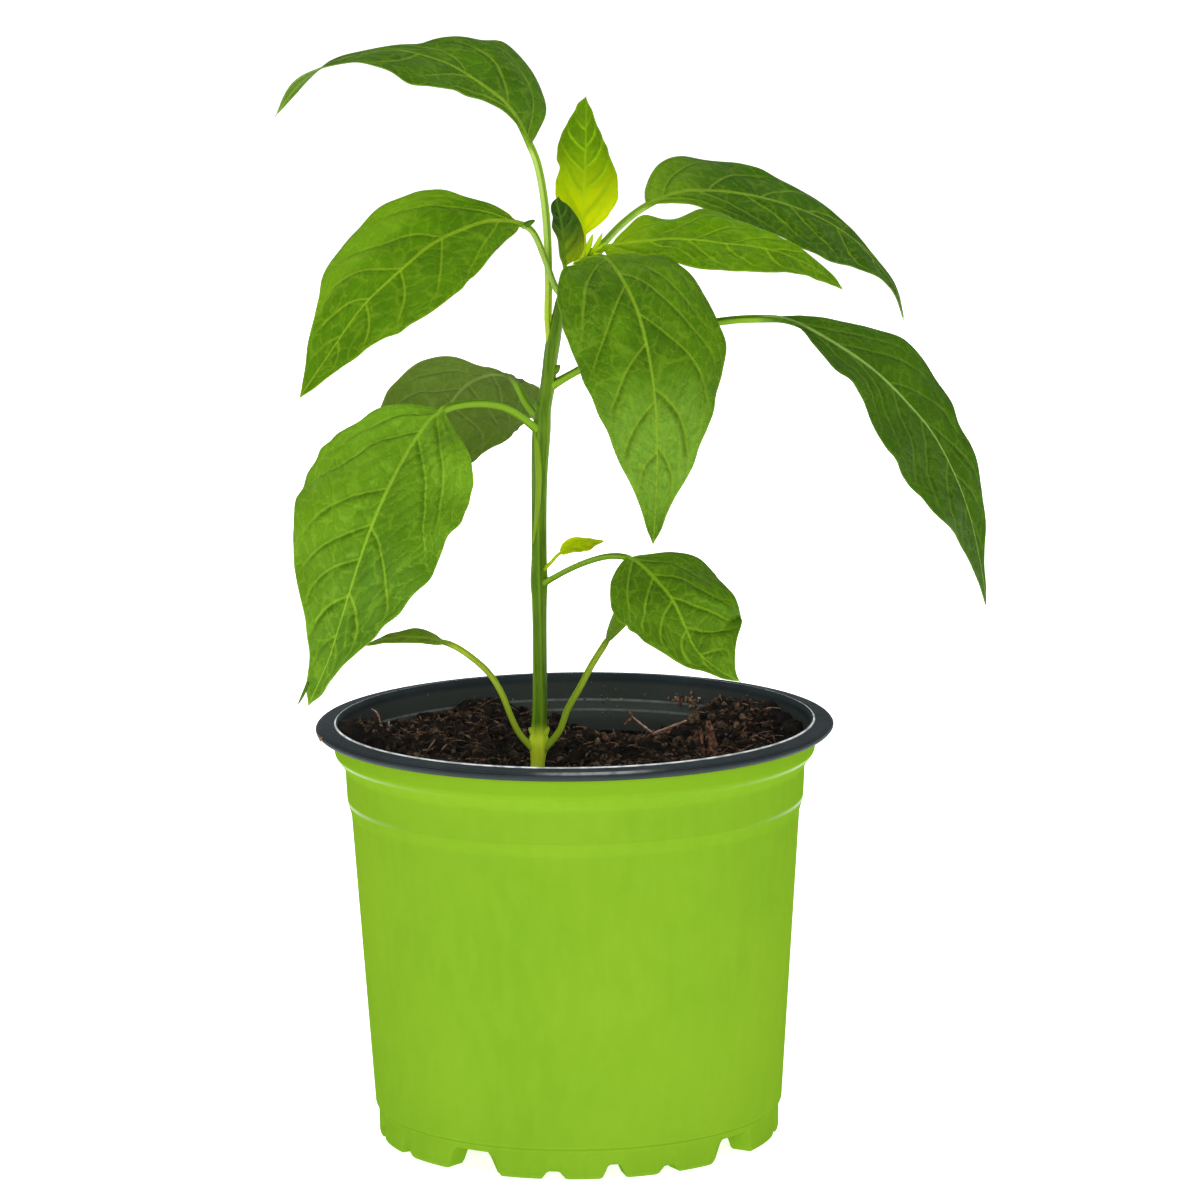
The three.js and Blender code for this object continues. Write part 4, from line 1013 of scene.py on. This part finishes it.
def build_crumbs(random):
    """Loose crumbs and chunks of peat on the soil, and crumbs of it on the pot's inner wall and rim."""
    bodies = []
    for spot in soil_spots(CRUMBS, random, CRUMB_REACH):
        size = 0.28 + 0.95 * random.random() ** 2.2
        bodies.append(rough_ball(spot + (0, 0, 0.25 * size), size, 0.25, random))
    for spot in soil_spots(CHUNKS, random, CHUNK_REACH):
        size = random.uniform(0.9, 1.9)
        bodies.append(rough_ball(spot + (0, 0, 0.1 * size), size, 0.42, random))
    loose = len(bodies)
    for count, turns, (draw, *heights), inset, sizes, rough in STUCK_CRUMBS:
        for _ in range(count):
            turn, level = random.normal(*turns), getattr(random, draw)(*heights)
            reach = RIM_RADIUS if inset is None else inside_radius(level) - inset
            bodies.append(rough_ball(circle(reach, turn, level), random.uniform(*sizes), rough, random))
    stuck = len(bodies) - loose
    moist = soil_material("soil_crumb", (11, 8, 6), (142, 114, 90), 0.8, (130, 104, 84))
    dry = soil_material("soil_dry_crumb", (84, 56, 42), (226, 192, 152), 0.9, (230, 206, 176))
    kinds = np.repeat([0, 1], [loose, stuck])
    return toned_object("soil_crumbs", bodies, [moist, dry], random, kinds, stuck)


def build_bark(random):
    """Flat slivers of bark in the soil, and the larger bits and straws that stand out of it."""
    bodies = []
    for spot in soil_spots(SLIVERS, random, CHUNK_REACH):
        half, length = random.uniform(0.15, 0.6), random.uniform(1.2, 4)
        along = unit(random.normal(size=3) * (1, 1, 0.45))
        path = spot + (0, 0, 0.3) + np.linspace(-0.5, 0.5, 5)[:, None] * length * along
        path += random.normal(0, 0.12, (5, 3))
        bodies.append(flat_strip(path, half, random.uniform(0.3, 0.6), random))
    for half, flat, _, path in BITS:
        bodies.append(flat_strip(catmull_rom(path, 6), half, flat, random))
    bark = soil_material("soil_bark", (32, 21, 15), (168, 120, 96), 0.9, (184, 146, 122))
    straw = soil_material("soil_straw", (150, 112, 94), (206, 172, 152), 0.9, (216, 190, 172))
    kinds = [BARK] * SLIVERS + [kind for _, _, kind, _ in BITS]
    return toned_object("soil_bark", bodies, [bark, straw], random, kinds, len(BITS), 0.8)


def build_fibres(random):
    """Fine fibres of peat that lie and curl on the soil."""
    bodies = []
    steps = np.linspace(-0.5, 0.5, 9)
    for x, y, z in soil_spots(FIBRES, random, FIBRE_REACH):
        length, heading = random.uniform(1.5, 6), random.uniform(0, 2 * np.pi)
        angle = heading + random.uniform(-1.8, 1.8) * steps
        reach = np.cumsum(np.stack([np.cos(angle), np.sin(angle)], -1), axis=0) * length / len(steps)
        reach -= reach.mean(axis=0)
        lift = random.uniform(-0.3, 0.55) * length * steps + random.uniform(0.2, 0.9)
        path = np.column_stack([x + reach[:, 0], y + reach[:, 1], z + lift + 0.35 * np.cos(np.pi * steps)])
        path[:, :2] *= np.minimum(1, FIBRE_END_REACH / np.hypot(path[:, 0], path[:, 1]))[:, None]
        bodies.append(tube(path, random.uniform(0.06, 0.16) * (1.05 - np.abs(steps)), 4))
    fibre = soil_material("soil_fibre", (40, 28, 20), (200, 160, 128), 0.6, (214, 184, 156))
    return toned_object("soil_fibres", bodies, [fibre], random)


# Stem

def stem_material():
    """Green with lighter ribs, pale yellow at the soil: partly its own colour, partly painted light that
    brightens it against the shade inside the pot. The mesh keeps the rib, the height and the tint.
    """
    material, tree = new_material("stem_green")
    place = place_in_mm(tree)
    rib, height, tint = split(node(tree, "Attribute", attribute_name="ribs", output="Vector"))
    streaks = noise_of(stretched(place, (1, 1, 0.08)), 1.3, 4)
    colour = painted(
        mixed(ranged(streaks, 0.3, 0.7), (57, 89, 8), (83, 119, 14)),
        (ranged(rib, 0.1, 1, 0, 0.6), (115, 153, 33)),
        (ranged(noise_of(place, 0.09, 3), 0.4, 0.7, 0, 0.3), (104, 136, 26)),
        # Pale yellow foot, partly painted light: brighter than its own colour against the shade inside the
        # pot
        (ranged(height, 92, 97, 0.92, 0), mixed(streaks, (190, 222, 36), (240, 255, 70))),
        (ranged(tint, 0.1, 0.9), (176, 206, 14)),
        (ranged(tint, -0.1, -0.9), (62, 98, 14)),
    )
    grain = noise_of(stretched(place, (1, 1, 0.15)), 2.6, 4)
    return surfaced(
        material, Base_Color=colour, Roughness=0.4, Specular_IOR_Level=0.25, Specular_Tint=(205, 228, 150),
        Normal=bumped(grain, 0.12),
    )


def build_stem():
    """The stem with its ribs and nodes, and the buds in the axils and at the shoot tip."""
    rows = softened(catmull_rom(STEM, PATH_SAMPLES), STEM_SOFTENING)
    length = lengths(rows[:, :3])
    line = read_at(np.arange(0, length[-1], STEM_STEP), length, rows)
    centre, radius = line[:, :3], line[:, 3:]
    tangent = unit(np.gradient(centre, axis=0))
    right = unit(np.array([1, 0, 0]) - tangent * tangent[:, :1])
    turn, twist = even_turns(STEM_SIDES), centre[:, 2:] * RIB_TWIST
    ribs = np.cos(STEM_RIBS * (turn + twist)) + 0.35 * np.cos(2 * turn + 3 * twist + 1)
    reach = radius * (1 + RIB_HEIGHT * ribs)
    bodies = [lofted(around(centre, right, np.cross(tangent, right), reach, STEM_SIDES))]
    marks = [np.append(ribs, (0, 0))]
    for foot, point, thick, _ in BUDS:
        bodies.append(bud_body(np.array(foot), np.array(point), thick))
        marks.append(np.full(len(bodies[-1][0]), 0.5))
    points, faces = joined(bodies)
    stem = mesh_object("stem_fine", points, faces, [stem_material()])
    tints = np.repeat([0, *(bud[3] for bud in BUDS)], list(map(len, marks)))
    keep(stem, "ribs", np.column_stack([np.concatenate(marks), points[:, 2], tints]))
    return stem


def bud_body(foot, point, radius):
    """A bud or a shoot tip's first leaf: a pointed, slightly curved spindle."""
    shares = np.linspace(0, 1, 12)[:, None]
    arc = np.sin(np.pi * shares)
    path = foot + shares * (point - foot) + 0.12 * np.linalg.norm(point - foot) * arc * (0.3, -0.6, 0.2)
    radii = radius * np.sqrt(np.clip(1 - shares ** 2.2, 0.003, 1)) * (1 + 0.25 * arc)
    return tube(path, radii[:, 0], 14)


# Leaves

def leaf_stations(leaf, stalk_length, whole):
    """Distance along the path, share of the blade's length and rib radius at each ring."""
    stalk_steps = max(4, round(stalk_length / STALK_STEP))
    on_stalk = np.linspace(0, stalk_length, stalk_steps, endpoint=False)
    even = np.linspace(0, 1, leaf["stations"] + 1)
    share = (even + (1 - np.cos(np.pi * even)) / 2) / 2
    flare = 1 + ROOT_FLARE * bell(on_stalk / ROOT_FLARE_LENGTH)
    along = np.concatenate([on_stalk, mix(stalk_length, whole, share)])
    rib = np.concatenate([leaf["stalk"] * flare, mix(leaf["stalk"], TIP_RADIUS, share ** 0.8)])
    return along, np.concatenate([np.zeros(stalk_steps), share]), rib


def vein_fields(starts, arch, widest, share, out, width, length):
    """Which vein each place on a blade is next to, as a number that is whole on a vein, with the distance
    in millimetres that a step of one in it spans and how strongly the veins show there."""
    reach = np.clip(out / np.maximum(width, 1e-3), 0, 1)
    sweep = arch * (0.35 + 0.65 * smooth(share / 0.35)) * widest * (1 - 0.75 * share)
    start = share - sweep * (0.95 * reach + 0.95 * reach ** 2.5) / length
    knots = np.array([starts[0] - 0.24, starts[0] - 0.12, *starts, 1.5 * starts[-1] - 0.5 * starts[-2]])
    phases = np.array([-2, -1, *range(len(starts)), len(starts) - 0.5])
    cell = np.clip(np.searchsorted(knots, start) - 1, 0, len(knots) - 2)
    gap = (np.diff(knots) / np.diff(phases))[cell]
    slope = sweep * (0.95 + 2.4 * reach ** 1.5) / np.maximum(width, 1)
    strength = (1 - smooth((reach - 0.55) / 0.45)) * np.where(start < starts[0] - 0.05, 0.45, 1)
    strength = strength * (1 - smooth((share - 0.72) / 0.2))
    return np.interp(start, knots, phases), gap * length / np.sqrt(1 + slope ** 2), strength


def leaf_sides(leaf, along, share, rib, random):
    """The leaf's middle surface and what its veins need, as grids of a row a ring and a column a step from
    the left margin to the right one. Rib has a row a ring."""
    steps = np.arange(-SIDE_STEPS, SIDE_STEPS + 1)
    away = np.abs(steps) / SIDE_STEPS
    side = np.sign(steps)[None, :]
    blade_length = along[-1] - along[share == 0][-1]
    along, share = along[:, None], share[:, None]
    on_left = side < 0
    widths = np.where(on_left, spline([0, *leaf["left"], 0], share), spline([0, *leaf["right"], 0], share))
    blunt = np.where(on_left, *leaf["blunt"]) * np.sqrt(np.clip(share / 0.015, 0, 1))
    widths = np.maximum(widths, blunt * (1 - smooth((share - 0.1) / 0.2)))
    ragged = 1 + leaf["ragged"] * ripples(along, side * 40.0, 11, random)
    width = np.hypot(rib, np.maximum(widths, 0) * ragged)
    flat = smooth((width - rib) / (2 * rib))
    out = mix(rib * np.sin(np.pi / 2 * away), width * away ** 1.3, flat)
    greatest = np.where(on_left, max(leaf["left"]), max(leaf["right"]))
    # The halves follow an arc that starts at the fold and bends down with the curl
    bend = np.maximum(np.radians(leaf["curl"]) / greatest, 1e-5)
    rise = np.radians(leaf["fold"]) * flat
    slope = rise - bend * out * flat
    hold = np.maximum(bend * flat, 1e-6)
    bent = bend * flat > 1e-5
    sideways = np.where(bent, (np.sin(rise) - np.sin(slope)) / hold, out * np.cos(rise))
    lift = np.where(bent, (np.cos(slope) - np.cos(rise)) / hold, out * np.sin(rise))
    waves = np.sin(2 * np.pi * (leaf["waves"] * share + side * WAVE_SHIFT))
    swell = leaf["wave"] * (out / greatest) ** 2 * waves
    wobble = 0.035 * ripples(along, side * out, 26, random)
    # The blade swells between the veins, and most just past each
    fields, relief = [], []
    for name, arch in zip(("left", "right"), leaf["arch"]):
        starts, widest = leaf["veins_" + name], max(leaf[name])
        phase, spacing, strength = vein_fields(starts, arch, widest, share, out, width, blade_length)
        phase = phase + wobble
        past = phase - np.floor(phase)
        pillow = (1 - bell(past * spacing / 1.1)) * (1.2 - 0.8 * past)
        pillow = pillow * (1 - bell((1 - past) * spacing / 1.1))
        relief.append(leaf["quilt"] * 1.4 * (pillow - 0.45) * (0.4 + 0.6 * strength))
        fields.append(np.stack([phase, spacing, strength * flat], -1))
    edge = 1 - 0.85 * away ** 4
    puckers = 0.2 * leaf["quilt"] * edge * ripples(along, side * out, 5, random)
    undulation = 0.9 * leaf["quilt"] * ripples(along, side * out, 22, random)
    height = (np.where(on_left, *relief) * edge + puckers) * (1 - bell(out / 1.7))
    height = (height + undulation * np.clip(out / 6, 0, 1) + swell) * flat
    return (side, away, width, out, flat, slope, sideways, lift, height), fields


def build_leaf(leaf, random):
    """A leaf as one closed body: rings round the stalk that open out into the two faces of the blade."""
    line = catmull_rom(leaf["path"], PATH_SAMPLES)
    raw = lengths(line)
    line = softened(line, PATH_SOFTENING)
    length = lengths(line)
    stalk_length = raw[PATH_SAMPLES * leaf["blade_from"]] / raw[-1] * length[-1]
    along, share, rib = leaf_stations(leaf, stalk_length, length[-1])
    centre = read_at(along, length, line)
    headings = softened(unit(np.gradient(line, length, axis=0)), TANGENT_SOFTENING)
    tangent = unit(read_at(along, length, headings))
    right = read_at(share, np.linspace(0, 1, len(leaf["across"])), leaf["across"])
    right = softened(right, ACROSS_SOFTENING)
    right = unit(right - tangent * (right * tangent).sum(axis=1, keepdims=True))
    up = np.cross(right, tangent)[:, None]
    right, rib = right[:, None], rib[:, None]
    sheet, veins = leaf_sides(leaf, along, share, rib, random)
    side, away, width, out, flat, slope, sideways, lift, height = sheet
    normal = up * np.cos(slope)[..., None] - right * (side * np.sin(slope))[..., None]
    skin = centre[:, None] + right * (side * sideways)[..., None] + up * lift[..., None]
    body = np.sqrt(np.maximum(rib ** 2 - out ** 2, 0))
    thickness = mix(BLADE_THICKNESS, MARGIN_THICKNESS, smooth((away - 0.9) / 0.1)) / 2
    groove = 1 - 0.55 * bell(out / (0.42 * rib))
    above = mix(np.maximum(body * groove, 0.05), thickness + 0.12 * bell(out / 0.4), flat)
    below = mix(np.maximum(body, 0.05), np.maximum(body * 0.9, thickness), flat)
    upper = skin + normal * (above + height)[..., None]
    lower = skin - normal * (below - height)[..., None]
    points, faces = lofted(np.concatenate([upper, lower[:, ::-1]], axis=1))

    rows, columns = out.shape
    count = 2 * columns
    quads = ring_faces(rows, count)
    spot = np.tile(np.arange(count), rows - 1)
    lower_face = np.append(spot >= columns - 1, np.ones(2 * count, bool))
    look = {**TINTS[leaf["tint"]], **leaf["look"]}
    stalk = STALKS[leaf["stalks"]]
    materials = [
        leaf_material(f"{leaf['name']}_{face}", look, stalk, length[-1] - stalk_length, face == "lower")
        for face in ("upper", "lower")
    ]
    made = mesh_object(f"{leaf['name']}_fine", points, faces, materials, lower_face)
    # The column of each ring point, on either face, and the side of the leaf that each quad is on
    column = np.append(np.arange(columns), np.arange(columns)[::-1])
    on_right = (column[spot] + column[(spot + 1) % count]) / 2 > SIDE_STEPS
    from_base = np.broadcast_to((along - stalk_length)[:, None], out.shape)
    blade = [np.stack([from_base, sign * out, width - out], -1) for sign in (-1, 1)]
    for name, fields in (("blade", np.array(blade)), ("veins", np.array(veins))):
        values = fields[on_right.astype(int)[:, None], quads // count, column[quads % count]]
        if faces[0] != quads[0].tolist():
            values = values[:, ::-1]
        ends = np.repeat(fields[0, [0, -1], 0], 3 * count, axis=0)
        keep(made, name, np.concatenate([values.reshape(-1, 3), ends]), "CORNER")
    return made


def leaf_material(name, look, stalk, length, lower):
    """Green blade with a pale midrib, arching veins, a fine net between them, painted shade in the fold
    just past each side vein and a thin light margin, partly a painted edge highlight; a look can add a
    painted sheen and painted light out towards one margin. The mesh keeps, in millimetres, how far it is
    past the base, out from the midrib and to the margin."""
    material, tree = new_material(name)
    place = node(tree, "Attribute", attribute_name="blade", output="Vector")
    past_base, out, to_margin = split(place)
    phase, spacing, strength = split(node(tree, "Attribute", attribute_name="veins", output="Vector"))
    swirl = noise_of(place, 0.09, 3)
    mottle = noise_of(place, 0.8, 4, 0.6)
    tone = ranged(swirl * 0.7 + mottle * 0.3, 0.2, 0.8)
    from_vein = abs(phase - calculated("ROUND", phase)) * spacing
    on_vein = ranged(from_vein, 0.1, 0.42, 1, 0) * strength
    near_vein = ranged(from_vein, 0.2, 1.6, 1, 0) * strength
    # Painted shade in the fold just past each side vein
    painted_crease_shade = ranged(calculated("FRACT", phase) * spacing, 0.3, 1.6, 0.6, 0) * strength
    from_rib = abs(out)
    on_rib = ranged(from_rib / ranged(past_base, 0, length, 0.6, 0.16), 0.55, 1.15, 1, 0)
    # A thin light margin: partly the edge's own paler colour, partly a painted edge highlight
    on_margin_and_highlight = ranged(to_margin, 0.05, 0.4, 1, 0)
    on_stalk = ranged(past_base, -1.5, 1.5, 1, 0)
    near_base = ranged(past_base, 0, look["base_reach"], 1, 0) * 0.85
    # Rungs of small veins run from one side vein to the next, across the direction of both
    along_vein = from_rib * 0.72 + past_base * 0.6
    rungs = (phase * 1.35 + swirl * 1.6, along_vein * 0.42 + mottle * 1.1, calculated("SIGN", out) * 4)
    net = cells_of(node(tree, "CombineXYZ", *rungs))
    fine_net = cells_of(stretched(place, (1, 1, 0)))

    dark, light, vein = np.array([look["dark"], look["light"], look["vein"]])
    if lower:
        dark, light, vein = mix(np.array([dark, light, vein]), UNDERSIDE, look.get("pale", 0.38))
    stalk = mixed(ranged(from_rib, 0.3, 0.9), *stalk)
    if "foot" in look:
        stalk = mixed(ranged(split(place_in_mm(tree))[2], *look["foot"], 0.85, 0), stalk, (192, 218, 60))
    colour = mixed(tone, dark, light)
    # Painted sheen: a paler patch along the blade where the front lamp's reflection falls
    if "bloom" in look and not lower:
        first, full, last, end = look["bloom"]
        waxy = ranged(past_base, first, full) * ranged(past_base, last, end, 1, 0)
        waxy = waxy * ranged(from_rib, 6, 14, 1, 0.5) * ranged(mottle, 0.3, 0.7, 0.5, 0.9)
        colour = mixed(waxy, colour, look.get("waxy", (128, 172, 56)))
    # Painted light: the blade turns lighter towards one margin, where it faces the light
    if "band" in look:
        colour = mixed(ranged(out, *look["band"], 0, look.get("band_share", 0.8)), colour, (132, 176, 26))
    colour = painted(
        colour,
        (near_base, look["base"]),
        (painted_crease_shade, 0.8 * np.array(look["dark"])),
        (near_vein * 0.12, light),
        (ranged(net, 0.015, 0.075, 1, 0) * 0.24, vein),
        (ranged(fine_net, 0.02, 0.12, 1, 0) * 0.15, light),
        (on_vein * look.get("show", 0.5), vein),
        (on_margin_and_highlight * 0.6, vein),
        (on_rib * 0.8, look.get("rib", look["vein"])),
        (on_stalk, stalk),
    )
    height = ranged(net, 0, 0.3) + ranged(fine_net, 0, 0.3) * 0.3 + noise_of(place, 5, 3) * 0.25
    smoothest, roughest, specular, relief = (0.62, 0.72, 0.15, -0.13) if lower else (0.38, 0.5, 0.38, 0.13)
    face = node(
        tree, "BsdfPrincipled", Base_Color=colour, Normal=bumped(height * (1 - on_stalk), relief),
        Roughness=ranged(mottle, 0.3, 0.7, smoothest, roughest), Specular_IOR_Level=specular,
        Specular_Tint=(195, 226, 120),
    )
    glow = np.array(look["glow"])
    lit = painted(mixed(tone, 0.85 * glow, glow), (near_base, look["base"]), (on_vein * 0.5, vein))
    both = node(tree, "MixShader", look["through"], face, node(tree, "BsdfTranslucent", lit))
    return finished(material, both)


# Floor, light and camera

def build_floor():
    material, tree = new_material("floor_white")
    colour = mixed(noise_of(place_in_mm(tree), 0.01, 2), (242, 243, 243), (248, 249, 248))
    surfaced(
        material, Base_Color=colour, Roughness=0.7, Specular_IOR_Level=0.1, Emission_Color=(255, 255, 255),
        Emission_Strength=FLOOR_GLOW,
    )
    rings = [circle(FLOOR_RADIUS, even_turns(96), level) for level in FLOOR_LEVELS]
    floor = mesh_object("floor", *lofted(rings), [material])
    for polygon in floor.data.polygons:
        polygon.use_smooth = False


def area_light(name, place, target, width, height, watts, glossy=True):
    lamp = bpy.data.lights.new(name, "AREA")
    lamp.shape = "RECTANGLE"
    lamp.size, lamp.size_y = width, height
    lamp.energy = watts
    made = bpy.data.objects.new(name, lamp)
    made.location = place
    made.visible_glossy = glossy
    made.rotation_euler = (Vector(target) - Vector(place)).to_track_quat("-Z", "Y").to_euler()
    bpy.context.collection.objects.link(made)


def build_light():
    world = bpy.data.worlds.new("studio")
    world.use_nodes = True
    background = world.node_tree.nodes["Background"]
    background.inputs["Color"].default_value = (1, 1, 1, 1)
    _, y, z = split(node(world.node_tree, "TexCoord", output="Generated"))
    above = ranged(z, 0.1, 0.5, 1, WORLD_ABOVE)
    front_to_sides = ranged(y, -0.7, 0, WORLD_FRONT, WORLD_SIDES)
    behind = ranged(y, 0.25, 0.8, 1, WORLD_BACK / WORLD_SIDES)
    put(background.inputs["Strength"], above * (front_to_sides * behind))
    bpy.context.scene.world = world
    for lamp in LAMPS:
        area_light(**lamp)


def build_camera():
    pitch, roll = math.radians(CAMERA_PITCH), math.radians(CAMERA_ROLL)
    forward = Vector((0, math.cos(pitch), -math.sin(pitch)))
    upright = Vector((0, math.sin(pitch), math.cos(pitch)))
    level = Vector((1, 0, 0))
    right = level * math.cos(roll) + upright * math.sin(roll)
    up = upright * math.cos(roll) - level * math.sin(roll)
    lens = bpy.data.cameras.new("camera")
    lens.sensor_width = SENSOR_WIDTH
    lens.lens = CAMERA_FOCAL * SENSOR_WIDTH / FRAME_WIDTH
    lens.clip_end = CAMERA_REACH_IN_METRES
    camera = bpy.data.objects.new("camera", lens)
    turned = Matrix((right, up, -forward)).transposed().to_4x4()
    camera.matrix_world = Matrix.Translation(Vector(CAMERA_PLACE) * MM) @ turned
    bpy.context.collection.objects.link(camera)
    bpy.context.scene.camera = camera


def place_piece(piece, node_name=None):
    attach(piece, "root")
    if node_name:
        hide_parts(node_name)


bpy.context.scene.view_settings.view_transform = "Standard"
build_camera()
build_floor()
build_light()
place_piece(build_pot(), "pot")
place_piece(build_soil(), "soil")
place_piece(build_crumbs(np.random.default_rng(CRUMB_SEED)))
place_piece(build_fibres(np.random.default_rng(FIBRE_SEED)))
place_piece(build_bark(np.random.default_rng(BARK_SEED)))
place_piece(build_stem(), "stem")
for number, own in enumerate(LEAVES):
    leaf = {**COMMON, **own}
    slot = "young_leaf" if leaf["tint"] == "young" else "leaf"
    place_piece(build_leaf(leaf, np.random.default_rng(FIRST_LEAF_SEED + number)), leaf["name"])
